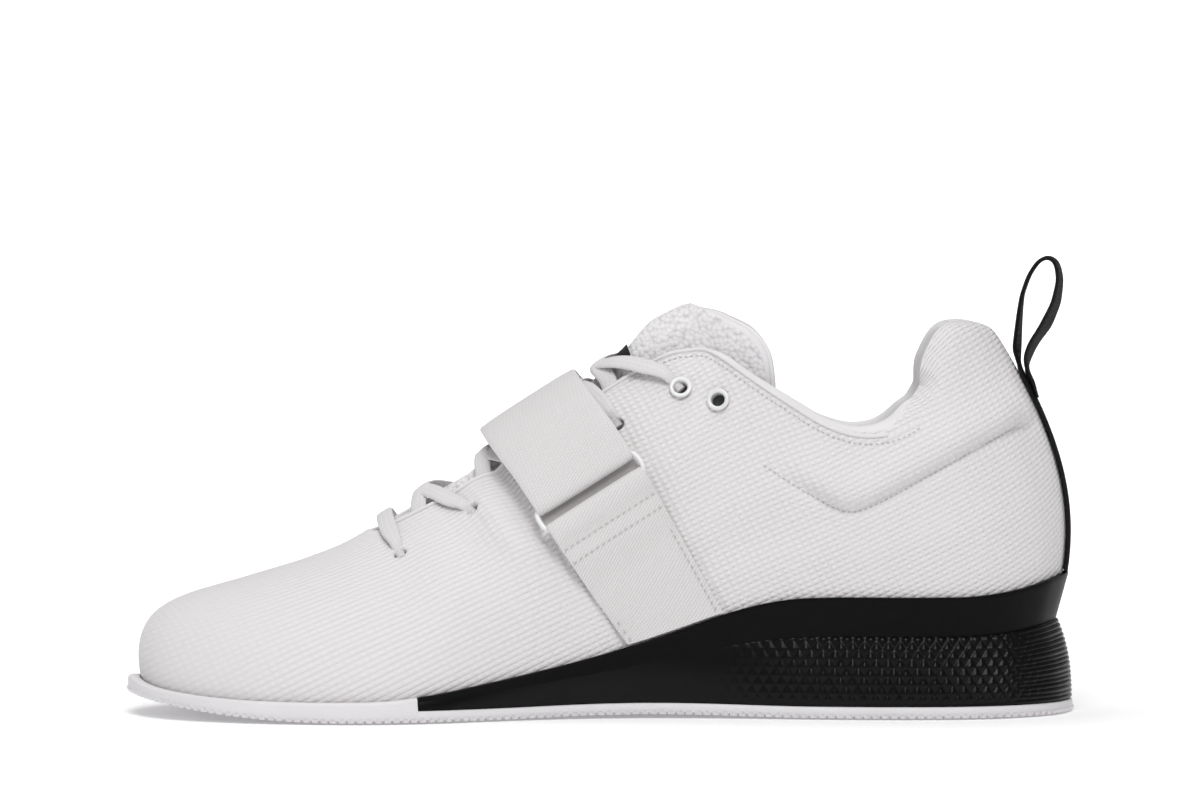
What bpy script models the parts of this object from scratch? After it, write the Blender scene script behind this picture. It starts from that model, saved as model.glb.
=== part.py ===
"""Weightlifting shoe for the right foot, standing on its sole.

The toe points to -X, the medial (arch) side faces -Y and the floor is Z = 0. The upper is worked out
as a row of ribs that stand on the feather line, where upper meets sole, and every other piece is
taken from those ribs: the cupped heel wedge, the outsole, the insole, the tongue, the two side
bands with their slots, the instep strap, the eyelets, the lace and the heel tape with its loop.
"""

import math
from collections import namedtuple

import bmesh
import bpy
import numpy as np

# Sizes below are in millimetres, and the meshes are made in metres.
MM = 0.001
GAP = 0.3

# One row for each rib of the upper, from the tip of the toe (row 0) round to the back of the heel.
# foot: where the rib stands on the feather line, on the medial (in) and lateral (out) side.
# edge: where the rib ends, on the ridge of the vamp and instep or on the topline of the collar,
# with edge_drop for how much lower the topline is on the lateral side.
# low: how far the wall swells out and climbs above its foot. high: how it comes in to its edge.
# flare: how far the outsole stands out past the foot. rim_z: top of the sole's side wall.
# pad: thickness of the collar at the edge.
Rib = namedtuple(
    "Rib",
    "foot_x foot_in foot_out foot_z edge_x edge_in edge_out edge_z edge_drop "
    "low_out low_up high_out high_down flare_in flare_out rim_z pad",
)
RIBS = [
    Rib(-141.5, -6.0, -6.0, 9.9, -116.0, -4.0, -4.0, 39.6, 0.0, 3.5, 17.0, 23.0, 4.4, 4.2, 4.2, 11.6, 2.2),
    Rib(-138.5, -20.0, 7.5, 9.2, -115.0, -4.0, -4.0, 39.9, 0.0, 3.5, 17.0, 22.0, 3.9, 4.0, 4.0, 10.4, 2.2),
    Rib(-132.0, -30.5, 18.0, 8.0, -112.0, -3.8, -3.8, 40.7, 0.0, 3.8, 17.5, 22.5, 3.0, 3.8, 3.8, 9.1, 2.2),
    Rib(-121.0, -39.2, 28.5, 6.6, -106.5, -3.2, -3.2, 42.2, 0.0, 4.0, 18.5, 23.5, 2.2, 3.6, 3.6, 7.9, 2.2),
    Rib(-107.0, -45.2, 38.0, 5.6, -98.5, -2.2, -2.2, 44.5, 0.0, 4.5, 20.0, 25.0, 1.2, 3.6, 3.6, 7.0, 2.2),
    Rib(-92.0, -48.5, 44.2, 5.3, -88.5, -1.2, -1.2, 47.9, 0.0, 5.5, 21.5, 25.0, 0.8, 3.8, 3.8, 6.7, 2.2),
    Rib(-78.0, -49.9, 48.0, 5.3, -78.0, -0.4, -0.4, 52.5, 0.0, 6.5, 23.5, 22.0, 1.2, 4.0, 4.0, 6.7, 2.2),
    Rib(-64.0, -49.1, 49.9, 5.6, -66.5, 0.0, 0.0, 59.6, 0.0, 7.0, 26.0, 17.5, 2.4, 4.0, 4.0, 7.1, 2.2),
    Rib(-50.0, -45.9, 49.4, 6.6, -53.0, 0.0, 0.0, 68.0, 0.0, 7.0, 30.0, 17.0, 2.6, 3.4, 3.8, 8.9, 2.2),
    Rib(-36.0, -40.5, 47.5, 8.6, -38.5, 0.0, 0.0, 76.8, 0.0, 6.5, 35.0, 18.0, 2.4, 2.6, 3.4, 11.5, 2.2),
    Rib(-20.0, -35.0, 44.8, 11.4, -21.0, 0.0, 0.0, 89.3, 0.0, 6.0, 40.0, 20.5, 1.8, 1.8, 3.0, 14.8, 2.2),
    Rib(-4.0, -31.0, 42.0, 14.4, -4.0, 0.0, 0.0, 101.0, 0.0, 5.5, 42.0, 23.0, 1.4, 1.5, 3.0, 18.6, 2.2),
    Rib(12.0, -29.0, 39.5, 17.5, 11.5, 0.0, 0.0, 110.6, 0.0, 5.5, 44.0, 25.0, 1.0, 1.7, 3.3, 23.2, 2.2),
    Rib(25.0, -28.5, 37.5, 19.8, 24.5, 0.0, 0.0, 116.2, 0.0, 5.5, 46.0, 25.5, 1.6, 2.1, 3.7, 27.5, 2.2),
    Rib(36.0, -28.5, 36.0, 21.5, 35.5, -18.5, 18.5, 110.6, 0.5, 5.5, 40.0, 5.0, 13.5, 2.7, 4.1, 31.4, 2.6),
    Rib(47.0, -29.0, 35.2, 23.0, 45.5, -23.0, 23.8, 103.4, 1.0, 6.0, 36.0, 3.5, 18.0, 3.5, 4.5, 34.6, 3.6),
    Rib(58.0, -29.8, 34.6, 24.2, 56.5, -26.6, 27.8, 96.2, 1.4, 6.0, 33.0, 3.0, 18.0, 4.3, 4.9, 36.6, 4.6),
    Rib(69.0, -30.5, 34.0, 25.0, 66.5, -28.8, 30.0, 90.0, 1.5, 6.0, 30.0, 3.0, 17.0, 5.0, 5.2, 37.2, 5.4),
    Rib(80.0, -31.0, 33.4, 25.6, 77.0, -29.8, 30.8, 86.3, 1.5, 6.0, 28.0, 3.0, 16.0, 5.6, 5.6, 37.3, 5.8),
    Rib(91.0, -31.0, 32.6, 26.0, 87.5, -29.8, 30.6, 86.4, 1.5, 6.0, 28.0, 3.0, 15.0, 6.0, 6.0, 37.2, 6.4),
    Rib(102.0, -30.3, 31.3, 26.2, 96.5, -28.8, 29.2, 90.4, 1.2, 6.5, 28.0, 3.0, 16.0, 6.4, 6.4, 37.2, 7.0),
    Rib(112.0, -28.5, 29.0, 26.4, 102.0, -27.3, 27.6, 97.6, 0.8, 6.5, 29.0, 4.0, 20.0, 6.7, 6.7, 37.3, 6.8),
    Rib(121.0, -25.0, 25.3, 26.5, 104.6, -25.0, 25.2, 107.8, 0.3, 7.0, 29.5, 6.8, 26.5, 7.0, 7.0, 38.2, 6.8),
    Rib(129.0, -19.5, 19.6, 26.5, 108.6, -20.5, 20.7, 115.4, 0.0, 8.3, 30.3, 10.5, 31.0, 7.2, 7.2, 39.8, 6.5),
    Rib(135.0, -12.0, 12.0, 26.6, 115.5, -12.5, 12.5, 117.6, 0.0, 9.3, 30.3, 17.0, 35.0, 7.2, 7.2, 41.9, 6.3),
    Rib(138.5, 0.0, 0.0, 26.6, 121.5, 0.0, 0.0, 117.2, 0.0, 9.7, 30.4, 23.0, 37.2, 7.2, 7.2, 43.2, 6.1),
]
HEEL = len(RIBS) - 1
TURNS = 2 * HEEL

# Upper
WALL = 2.2
PAD_FROM, PAD_TO = 0.45, 0.85
# Where the collar is thicker than this, its rolled edge also swells forward into the opening.
SWELL_PAD, SWELL = 5.4, 0.6
LASTING_MARGIN, LASTING_BOARD = 8.0, 1.4
THROAT_FRONT_X, THROAT_TOP_X = -72.0, 45.0
THROAT_FRONT_HALF, THROAT_ROUND, THROAT_WIDENING = 8.8, 9.0, 0.035
THROAT_STEPS_X = (-72.0, -71.3, -69.6, -66.6, -63.0)
WALL_STEPS = 8
# The ribs are drawn half a row apart at the toe and heel and a whole row apart between.
EVEN_FROM, EVEN_TO = 6, 19

# Sole
SPRING_FROM_X, SPRING_RISE, SPRING_POWER = -78.0, 6.7, 2.0
ARCH_X, ARCH_HALF, ARCH_RISE = 15.0, 52.0, 0.8
WEDGE_FRONT_X = -56.0
OUTSOLE_REAR, KEY_DEPTH = 4.0, 0.35
RIM_WALL = 1.6
LEDGE_AT, WAIST_OF_FLARE, FULL_WAIST_HEIGHT = 0.63, 0.58, 28.0
RIB_COUNT, RIB_RELIEF = 5, 0.5
GROOVES_X = (-112.0, -96.0, -80.0, -64.0, 84.0, 100.0, 116.0)
GROOVE_WIDTH, GROOVE_DEPTH = 2.2, 0.9

# Insole
INSOLE_THICK, INSOLE_CLEAR = 3.6, 1.1

# The strap, its ring and the side band lie in planes that tilt back with the instep: w runs across
# the strap's width and h up its length in the side view, both from the middle of the ring.
BAND_TILT = math.radians(32.4)
BAND_X, BAND_Z = -1.9, 69.8
WEBBING, WEBBING_CLEAR, RING_THICK = 1.5, 0.6, 1.5
PLY = WEBBING + GAP
FOLD_RADIUS = 0.5 * (WEBBING + RING_THICK) + GAP
RING_OUTER_W, RING_INNER_W = (-21.3, 18.0), (-19.7, 16.4)
RING_OUTER_H, RING_INNER_H = (-6.35, 6.55), (-4.35, 4.55)
MIDDLE_W, CROWN_MIDDLE_W, STRAP_HALF = -1.7, -3.3, 17.2
BAND_HALF, BAND_TAPER = 17.4, 0.055
CROWN_H = 28.0
CROWN_LIFT_FRONT, CROWN_LIFT_REAR = 5.9, 4.4
OVER_LACE_LIFT = 3.6
FREE_END_H = -4.0

# Eyelets in the side view, from the toe end to the top, and the lace
EYELETS = ((-61.4, 50.2), (-39.2, 63.2), (-17.3, 76.6), (4.9, 89.4), (24.4, 100.4), (35.8, 96.9))
PLAIN_HOLES = 4
PUNCH_RADIUS, GROMMET_HOLE_RADIUS = 2.2, 2.7
GROMMET_BORE, GROMMET_BARREL, GROMMET_FLANGE = 2.1, 2.4, 3.8
GROMMET_LIP, GROMMET_LIFT, GROMMET_DEPTH = 0.7, 1.0, 3.4
LACE_WIDE, LACE_THICK, LACE_LIFT = 6.0, 1.8, 1.5
# Each crossing: where the two strands cross on the ridge, and how far they stand up there and
# at their upper holes.
Crossing = namedtuple("Crossing", "x lift hole_lift")
CROSSINGS = [
    Crossing(-54.5, 2.8, 1.5),
    Crossing(-36.0, 2.2, 1.5),
    Crossing(-7.0, 1.9, 1.5),
    Crossing(-0.5, 4.4, 3.0),
]

# Tongue: its neck, just inside the end of the throat, and its free top edge, each from the middle
# of the front to the lower corner of the wing
TongueEdge = namedtuple("TongueEdge", "across x y z")
TONGUE_NECK = [
    TongueEdge(0.0, 24.8, 0.0, 125.2),
    TongueEdge(0.3, 26.2, 5.8, 121.6),
    TongueEdge(0.55, 29.5, 8.8, 115.4),
    TongueEdge(0.75, 32.5, 12.4, 106.8),
    TongueEdge(0.9, 34.5, 14.6, 103.2),
    TongueEdge(1.0, 35.5, 16.0, 99.6),
]
TONGUE_TOP = [
    TongueEdge(0.0, 28.5, 0.0, 126.2),
    TongueEdge(0.3, 32.0, 7.0, 124.8),
    TongueEdge(0.55, 39.0, 12.3, 121.2),
    TongueEdge(0.75, 46.2, 15.6, 117.2),
    TongueEdge(0.9, 51.0, 17.0, 110.6),
    TongueEdge(1.0, 52.6, 17.6, 100.5),
]
# Stations of the tongue along the instep: half width, how far its middle stands up, thickness
TongueRow = namedtuple("TongueRow", "x half rise thick")
TONGUE_ROWS = [
    TongueRow(-88.0, 12.0, 0.0, 1.6),
    TongueRow(-78.0, 15.0, 0.0, 2.2),
    TongueRow(-66.0, 17.5, 0.6, 2.6),
    TongueRow(-54.0, 19.0, 1.8, 3.0),
    TongueRow(-40.0, 20.0, 2.0, 3.2),
    TongueRow(-26.0, 20.5, 2.0, 3.4),
    TongueRow(-12.0, 20.5, 2.2, 3.8),
    TongueRow(0.0, 20.0, 4.0, 4.2),
    TongueRow(9.0, 19.0, 6.2, 4.6),
    TongueRow(18.0, 18.0, 10.2, 5.0),
]
LABEL_X, LABEL_HALF, LABEL_THICK, LABEL_CLEAR = (4.5, 6.5, 8.5, 10.5), 6.5, 0.6, 0.6
TONGUE_TOP_THICK = 5.4
TONGUE_ACROSS = (-1.0, -0.9, -0.75, -0.55, -0.3, 0.0, 0.3, 0.55, 0.75, 0.9, 1.0)
TONGUE_CLEAR = 1.3

# Heel tape, in the plane of symmetry: it climbs the back seam, makes a loop through the points
# below and comes down again over its own first ply.
TAPE_WIDE, TAPE_THICK, TAPE_BEND = 12.0, 1.1, 0.7
TAPE_START_Z, TAPE_SPLIT_Z, TAPE_END_Z = 44.6, 105.5, 96.0
LOOP = [
    (128.85, 108.6),
    (128.2, 111.5),
    (128.6, 117.0),
    (129.1, 122.8),
    (129.8, 128.4),
    (131.9, 134.4),
    (134.8, 138.8),
    (137.8, 140.3),
    (140.5, 138.5),
    (141.5, 133.1),
    (140.3, 126.0),
    (137.0, 118.7),
    (133.2, 113.3),
    (131.6, 109.0),
]

COLOURS = {
    # name: (red, green, blue), roughness
    "woven_textile": ((0.80, 0.79, 0.78), 0.85),
    "sole_rubber": ((0.82, 0.82, 0.82), 0.55),
    "heel_plastic": ((0.02, 0.02, 0.022), 0.45),
    "tongue_mesh": ((0.78, 0.78, 0.78), 0.9),
    "webbing": ((0.80, 0.79, 0.78), 0.75),
    "ring_plastic": ((0.8, 0.8, 0.8), 0.4),
    "label_film": ((0.02, 0.02, 0.022), 0.5),
    "tape": ((0.02, 0.02, 0.022), 0.8),
    "lace_cord": ((0.84, 0.84, 0.84), 0.7),
    "eyelet_enamel": ((0.84, 0.84, 0.84), 0.4),
    "insole_foam": ((0.6, 0.6, 0.6), 0.9),
}


# Ribs and the surface of the upper


def rib_rows():
    """The ribs as one closed loop: medial side from toe to heel, lateral side back to the toe."""
    medial = [
        (r.foot_x, r.foot_in, r.foot_z, r.edge_x, r.edge_in, r.edge_z, r.low_out, r.low_up)
        + (r.high_out, r.high_down, r.flare_in, r.rim_z, r.pad)
        for r in RIBS
    ]
    lateral = [
        (r.foot_x, r.foot_out, r.foot_z, r.edge_x, r.edge_out, r.edge_z - r.edge_drop)
        + (r.low_out, r.low_up)
        + (r.high_out, r.high_down, r.flare_out, r.rim_z, r.pad)
        for r in RIBS
    ]
    return np.array(medial + lateral[HEEL - 1 : 0 : -1])


ROWS = rib_rows()
FOOT, EDGE = slice(0, 3), slice(3, 6)
LOW_OUT, LOW_UP, HIGH_OUT, HIGH_DOWN, FLARE, RIM_Z, PAD = range(6, 13)


def rows_at(turn):
    """A smooth curve through the rows: turn runs from 0 at the toe to HEEL and on to TURNS."""
    turn = np.asarray(turn, float)
    low = np.floor(turn).astype(int)
    t = (turn - low)[..., None]
    before, start, end, after = (ROWS[(low + k) % TURNS] for k in (-1, 0, 1, 2))
    slope_in, slope_out = (end - before) / 2, (after - start) / 2
    return (
        (2 * t**3 - 3 * t**2 + 1) * start
        + (t**3 - 2 * t**2 + t) * slope_in
        + (3 * t**2 - 2 * t**3) * end
        + (t**3 - t**2) * slope_out
    )


FEATHER = rows_at(np.linspace(0, HEEL, 501))[:, [0, 2]]


def feather_z(x):
    """Height of the feather line over a place x."""
    return np.interp(x, FEATHER[:, 0], FEATHER[:, 1])


def drawn_turns():
    """The medial turns at which the ribs are drawn."""
    turns = {k / 2 for k in range(2 * HEEL + 1)}
    return sorted(u for u in turns if u == int(u) or not EVEN_FROM < u < EVEN_TO)


def foot_normals(turn):
    """The outward direction of the feather line in plan."""
    step = 0.05
    tangent = rows_at(np.asarray(turn) + step)[..., :2] - rows_at(np.asarray(turn) - step)[..., :2]
    normal = np.stack([tangent[..., 1], -tangent[..., 0]], -1)
    return normal / np.linalg.norm(normal, axis=-1, keepdims=True)


def wall_points(turn, t):
    """Points of the upper's outer face: t is 0 at the foot of a rib and 1 at its edge."""
    row, out = rows_at(turn), foot_normals(turn)
    foot, edge = row[:, FOOT], row[:, EDGE]
    low = foot + np.column_stack([out * row[:, [LOW_OUT]], row[:, LOW_UP]])
    high = edge + np.column_stack([out * row[:, [HIGH_OUT]], -row[:, HIGH_DOWN]])
    t = np.asarray(t, float)[..., None]
    points = [p[:, None, :] for p in (foot, low, high, edge)]
    weights = ((1 - t) ** 3, 3 * t * (1 - t) ** 2, 3 * t**2 * (1 - t), t**3)
    return sum(w * p for w, p in zip(weights, points))


def throat_half(x):
    """Half the width of the throat opening at x, with a rounded front."""
    x = np.asarray(x, float)
    into = np.clip((x - THROAT_FRONT_X) / THROAT_ROUND, 0, 1)
    half = THROAT_FRONT_HALF * np.sqrt(into * (2 - into))
    half = half + THROAT_WIDENING * np.clip(x - THROAT_FRONT_X, 0, None)
    return np.where(x < THROAT_TOP_X, half, 0.0)


def rib_ends(turn):
    """How far up its rib the wall goes: to the edge, or to where the throat cuts it."""
    t = np.linspace(0.3, 1, 141)
    points = wall_points(turn, np.tile(t, (len(turn), 1)))
    spare = np.abs(points[..., 1]) - throat_half(points[..., 0])
    ends = np.ones(len(turn))
    for k, row in enumerate(spare):
        cut = np.nonzero(row < 0)[0]
        if len(cut) and points[k, -1, 0] > THROAT_FRONT_X:
            j = cut[0]
            ends[k] = t[j - 1] + (t[j] - t[j - 1]) * row[j - 1] / (row[j - 1] - row[j])
    return ends


def turn_at_x(x, table=0):
    """The medial turn whose foot (table 0) or edge (table 3) stands at x."""
    turns = np.linspace(0, HEEL, 2001)
    return np.interp(x, rows_at(turns)[:, table], turns)


def grid_normals(points, closed):
    """Outward normals of a grid that runs along the ribs' turn and up the wall."""
    if closed:
        along = np.roll(points, -1, 0) - np.roll(points, 1, 0)
    else:
        along = np.gradient(points, axis=0)
    up = np.gradient(points, axis=1)
    normal = np.cross(along, up)
    return normal / np.maximum(np.linalg.norm(normal, axis=-1, keepdims=True), 1e-9)


def ridge_normals(edge):
    """Normals on the ridge, which runs along X: they lean only with its slope."""
    slope = np.gradient(edge[:, 2]) / np.maximum(np.gradient(edge[:, 0]), 1e-6)
    slope[0] = slope[1]
    normal = np.column_stack([-slope, np.zeros(len(edge)), np.ones(len(edge))])
    return normal / np.linalg.norm(normal, axis=1, keepdims=True)


# A fine copy of the surface, used to find points on it

FINE_TURNS = np.linspace(3, HEEL, 441)
FINE_T = np.linspace(0, 1, 81)


def fine_side(side):
    """Points and outward normals of one side, with the ridge drawn on over the throat."""
    turns = FINE_TURNS if side < 0 else TURNS - FINE_TURNS
    points = wall_points(turns, np.tile(FINE_T, (len(turns), 1)))
    return points, -side * grid_normals(points, False)


FINE = {side: fine_side(side) for side in (-1, 1)}


def surface_point(side, x, level, axis):
    """The point and normal at x where y (axis 1) or z (axis 2) is at the given level."""
    points, normals = FINE[side]
    found = []
    for rib, out in zip(points, normals):
        value = side * -rib[:, 1] if axis == 1 else rib[:, 2]
        start = len(value) // 4 if axis == 1 else 0
        goal = -abs(level) if axis == 1 else level
        found.append(
            [np.interp(goal, value[start:], column[start:]) for column in np.hstack([rib, out]).T]
        )
    found = np.array(found)
    order = np.argsort(found[:, 0])
    place = np.array([np.interp(x, found[order, 0], column) for column in found[order].T])
    return place[:3], place[3:] / np.linalg.norm(place[3:])


# Meshes


def material(name):
    """The named material, made once."""
    found = bpy.data.materials.get(name)
    if found:
        return found
    colour, roughness = COLOURS[name]
    found = bpy.data.materials.new(name)
    found.use_nodes = True
    shader = found.node_tree.nodes["Principled BSDF"]
    shader.inputs["Base Color"].default_value = (*colour, 1)
    shader.inputs["Roughness"].default_value = roughness
    shader.inputs["Metallic"].default_value = 0.0
    found.diffuse_color = (*colour, 1)
    return found


def solid(name, points, faces, finish, sharp=math.radians(40)):
    """A closed object from points in millimetres, with its faces turned outwards."""
    mesh = bpy.data.meshes.new(name)
    bm = bmesh.new()
    corners = [bm.verts.new(tuple(float(c) * MM for c in p)) for p in points]
    for face in faces:
        bm.faces.new([corners[i] for i in face])
    bmesh.ops.remove_doubles(bm, verts=bm.verts, dist=0.01 * MM)
    bmesh.ops.dissolve_degenerate(bm, edges=bm.edges, dist=0.01 * MM)
    bmesh.ops.recalc_face_normals(bm, faces=bm.faces)
    bm.to_mesh(mesh)
    bm.free()
    mesh.shade_smooth()
    mesh.set_sharp_from_angle(angle=sharp)
    obj = bpy.data.objects.new(name, mesh)
    mesh.materials.append(material(finish))
    bpy.context.scene.collection.objects.link(obj)
    return obj


def grid_faces(rings, around, path_closed, ring_closed=True, skip=None):
    """Quads between neighbouring rings of points that are numbered ring by ring."""
    faces = []
    for k in range(rings if path_closed else rings - 1):
        after = (k + 1) % rings
        for m in range(around if ring_closed else around - 1):
            if skip and skip(k, after, m):
                continue
            n = (m + 1) % around
            faces.append((k * around + m, k * around + n, after * around + n, after * around + m))
    return faces


def lofted(name, rings, finish, cap_start=False, cap_end=False):
    """A solid through closed rings; an end that isn't capped has shrunk to a line."""
    rings = np.asarray(rings)
    count, around = rings.shape[:2]
    faces = grid_faces(count, around, False)
    if cap_start:
        faces.append(tuple(range(around)))
    if cap_end:
        faces.append(tuple((count - 1) * around + m for m in range(around)))
    return solid(name, rings.reshape(-1, 3), faces, finish)


def plate(name, outer, inner, finish, holes=()):
    """A thin solid between two grids of points; holes are the grid cells left open."""
    rows, columns = outer.shape[:2]
    points = np.concatenate([outer.reshape(-1, 3), inner.reshape(-1, 3)])
    back = rows * columns
    kept = {(i, j) for i in range(rows - 1) for j in range(columns - 1)} - set(holes)
    faces = []
    for i, j in sorted(kept):
        a, b = i * columns + j, i * columns + j + 1
        c, d = b + columns, a + columns
        faces += [(a, b, c, d), (back + d, back + c, back + b, back + a)]
        sides = (((i - 1, j), a, b), ((i, j + 1), b, c), ((i + 1, j), c, d), ((i, j - 1), d, a))
        faces += [(q, p, back + p, back + q) for cell, p, q in sides if cell not in kept]
    return solid(name, points, faces, finish)


def ribbon(name, centre, thick, across, finish):
    """A flat band around a grid of middle points, one row for each line across its width."""
    along = np.gradient(centre, axis=1)
    side = np.cross(along, np.asarray(across, float))
    side /= np.linalg.norm(side, axis=-1, keepdims=True)
    return plate(name, centre + side * thick / 2, centre - side * thick / 2, finish)


def boolean(obj, other, operation):
    """Cuts or joins another object into obj, and removes that other object."""
    modifier = obj.modifiers.new(operation.lower(), "BOOLEAN")
    modifier.operation, modifier.object, modifier.solver = operation, other, "EXACT"
    graph = bpy.context.evaluated_depsgraph_get()
    graph.update()
    mesh = bpy.data.meshes.new_from_object(obj.evaluated_get(graph))
    obj.modifiers.remove(modifier)
    obj.data = mesh
    bpy.data.objects.remove(other)


def rod(name, start, end, radius, finish, sides=12):
    """A round bar from start to end, used as a punch."""
    start, end = np.asarray(start, float), np.asarray(end, float)
    axis = (end - start) / np.linalg.norm(end - start)
    one = np.cross(axis, (0, 0, 1.0) if abs(axis[2]) < 0.9 else (1.0, 0, 0))
    one /= np.linalg.norm(one)
    two = np.cross(axis, one)
    angles = np.arange(sides) * 2 * math.pi / sides
    ring = radius * (np.outer(np.cos(angles), one) + np.outer(np.sin(angles), two))
    return lofted(name, [start + ring, end + ring], finish, True, True)


# Upper


def upper_turns():
    """Where the upper's ribs are drawn, closer together round the front of the throat."""
    front = [float(turn_at_x(x, 3)) for x in THROAT_STEPS_X]
    kept = [u for u in drawn_turns() if min(abs(u - f) for f in front) > 0.2]
    medial = np.array(sorted(kept + front))
    lateral = TURNS - medial[-2:0:-1]
    return np.concatenate([medial, lateral]), front[0]


def upper_shell():
    """Outer grid, inner grid, rolled edge, and which ribs still end on the closed ridge."""
    turns, front = upper_turns()
    count = len(turns)
    on_ridge = np.minimum(turns, TURNS - turns) <= front + 1e-6
    ends = rib_ends(turns)
    share = np.linspace(0, 1, WALL_STEPS + 1)
    outer = wall_points(turns, ends[:, None] * share)
    normals = grid_normals(outer, True)
    half = count // 2
    ridge = ridge_normals(outer[: half + 1, -1])
    for k in range(count):
        if on_ridge[k]:
            normals[k, -1] = ridge[min(k, count - k)]
    rows = rows_at(turns)
    swell = np.clip((share - PAD_FROM) / (PAD_TO - PAD_FROM), 0, 1)
    swell = swell * swell * (3 - 2 * swell)
    thick = WALL + (rows[:, [PAD]] - WALL) * swell
    inner = outer - normals * thick[..., None]
    inner[:, 0, 2] = outer[:, 0, 2] + LASTING_BOARD
    return turns, outer, inner, on_ridge


def make_upper():
    """The woven shell: one wall from the lasting margin to the padded collar and the eyestays."""
    turns, outer, inner, on_ridge = upper_shell()
    count = len(turns)
    middle, reach = (outer[:, -1] + inner[:, -1]) / 2, (outer[:, -1] - inner[:, -1]) / 2
    along = np.roll(middle, -1, 0) - np.roll(middle, 1, 0)
    rise = np.cross(reach, along)
    rise *= np.sign(np.sum(rise * (outer[:, -1] - outer[:, -2]), axis=1, keepdims=True))
    rise /= np.maximum(np.linalg.norm(rise, axis=1, keepdims=True), 1e-9)
    radius = np.where(on_ridge, 0.0, np.linalg.norm(reach, axis=1))[:, None]
    radius *= 1 + SWELL * np.clip(rows_at(turns)[:, [PAD]] - SWELL_PAD, 0, None)
    rolls = [
        middle + reach * math.cos(a) + rise * radius * math.sin(a)
        for a in (math.pi / 4, math.pi / 2, 3 * math.pi / 4)
    ]
    inward = -foot_normals(turns)
    under = outer[:, 0] + np.column_stack([inward * LASTING_MARGIN, np.zeros(count)])
    under[:, 2] = feather_z(under[:, 0])
    above = under + (0, 0, LASTING_BOARD)
    rings = np.concatenate(
        [
            outer,
            np.stack(rolls, 1),
            inner[:, ::-1],
            above[:, None],
            under[:, None],
        ],
        axis=1,
    )
    around = rings.shape[1]

    def ridge_seam(k, after, m):
        return on_ridge[k] and on_ridge[after] and WALL_STEPS <= m < WALL_STEPS + 4

    faces = grid_faces(count, around, True, True, ridge_seam)
    upper = solid("upper", rings.reshape(-1, 3), faces, "woven_textile")
    for side in (-1, 1):
        for number, (x, z) in enumerate(EYELETS):
            place, out = surface_point(side, x, z, 2)
            radius = PUNCH_RADIUS if number < PLAIN_HOLES else GROMMET_HOLE_RADIUS
            punch = rod("punch", place - out * 7, place + out * 4, radius, "woven_textile")
            boolean(upper, punch, "DIFFERENCE")
    upper.data.shade_smooth()
    upper.data.set_sharp_from_angle(angle=math.radians(40))
    return upper


# Sole


def sole_bottom(x):
    """Height of the tread: toe spring in front, a slight lift under the arch."""
    x = np.asarray(x, float)
    toe = np.clip((SPRING_FROM_X - x) / (SPRING_FROM_X + 145.7), 0, None)
    arch = np.clip(1 - np.abs(x - ARCH_X) / ARCH_HALF, 0, 1)
    return SPRING_RISE * toe**SPRING_POWER + ARCH_RISE * arch * arch * (3 - 2 * arch)


def sole_edge(turn, inset):
    """Points of the outsole's outline, moved in by inset."""
    row = rows_at(turn)
    return row[:, :2] + foot_normals(turn) * (row[:, [FLARE]] - inset)


def at_height(turn, z, stand_off):
    """Where the upper's outer face is at height z, moved out by stand_off."""
    t = np.linspace(0, 0.6, 61)
    ribs = wall_points(turn, np.tile(t, (len(turn), 1)))
    share = np.array([np.interp(height, rib[:, 2], t) for height, rib in zip(z, ribs)])
    place = wall_points(turn, share[:, None])[:, 0, :2]
    return place + foot_normals(turn) * stand_off


def raised(places, z):
    """Places in plan with their heights."""
    return np.column_stack([places, z])


def both_sides(profile, turns):
    """Closed rings across the shoe from one profile function for each side."""
    medial = np.stack(profile(turns), 1)
    lateral = np.stack(profile(TURNS - turns), 1)
    return np.concatenate([medial, lateral[:, ::-1]], axis=1)


def outsole_profile(turn):
    """One side of the outsole, from the tread's edge up and over the rim to the bed."""
    row = rows_at(turn)
    bottom = sole_bottom(row[:, 0])
    front = row[:, 0] < WEDGE_FRONT_X - 0.1
    top = np.where(front, row[:, RIM_Z], bottom + OUTSOLE_REAR)
    bed = np.where(front, row[:, 2] - GAP, top - KEY_DEPTH)
    inner = row[:, FLARE] - 2 * GAP
    return [
        raised(sole_edge(turn, 1.3), bottom),
        raised(sole_edge(turn, 0.2), bottom + 1.1),
        raised(sole_edge(turn, 0.0), top - 1.0),
        raised(sole_edge(turn, 0.8), top),
        raised(sole_edge(turn, np.maximum(inner, 1.2)[:, None]), top),
        raised(sole_edge(turn, np.maximum(inner, 1.2)[:, None]), bed),
    ]


def make_outsole():
    """White rubber outsole with its rim round the forefoot and grooves across the tread."""
    step = turn_at_x(WEDGE_FRONT_X)
    turns = np.array(sorted(set(drawn_turns()) | {step - 0.02, step}))
    outsole = lofted("outsole", both_sides(outsole_profile, turns), "sole_rubber")
    for x in GROOVES_X:
        low = float(sole_bottom(x))
        slope = float(sole_bottom(x + 1) - sole_bottom(x - 1)) / 2
        size = np.array([GROOVE_WIDTH / 2, 70, GROOVE_DEPTH])
        corners = np.array([(a, b, c) for c in (-2, 1) for a, b in ((-1, -1), (1, -1), (1, 1), (-1, 1))])
        block = corners * size + (x, 0, low)
        block[:, 2] += slope * (block[:, 0] - x)
        cutter = lofted("groove", [block[:4], block[4:]], "sole_rubber", True, True)
        boolean(outsole, cutter, "DIFFERENCE")
    outsole.data.shade_smooth()
    outsole.data.set_sharp_from_angle(angle=math.radians(40))
    return outsole


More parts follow.
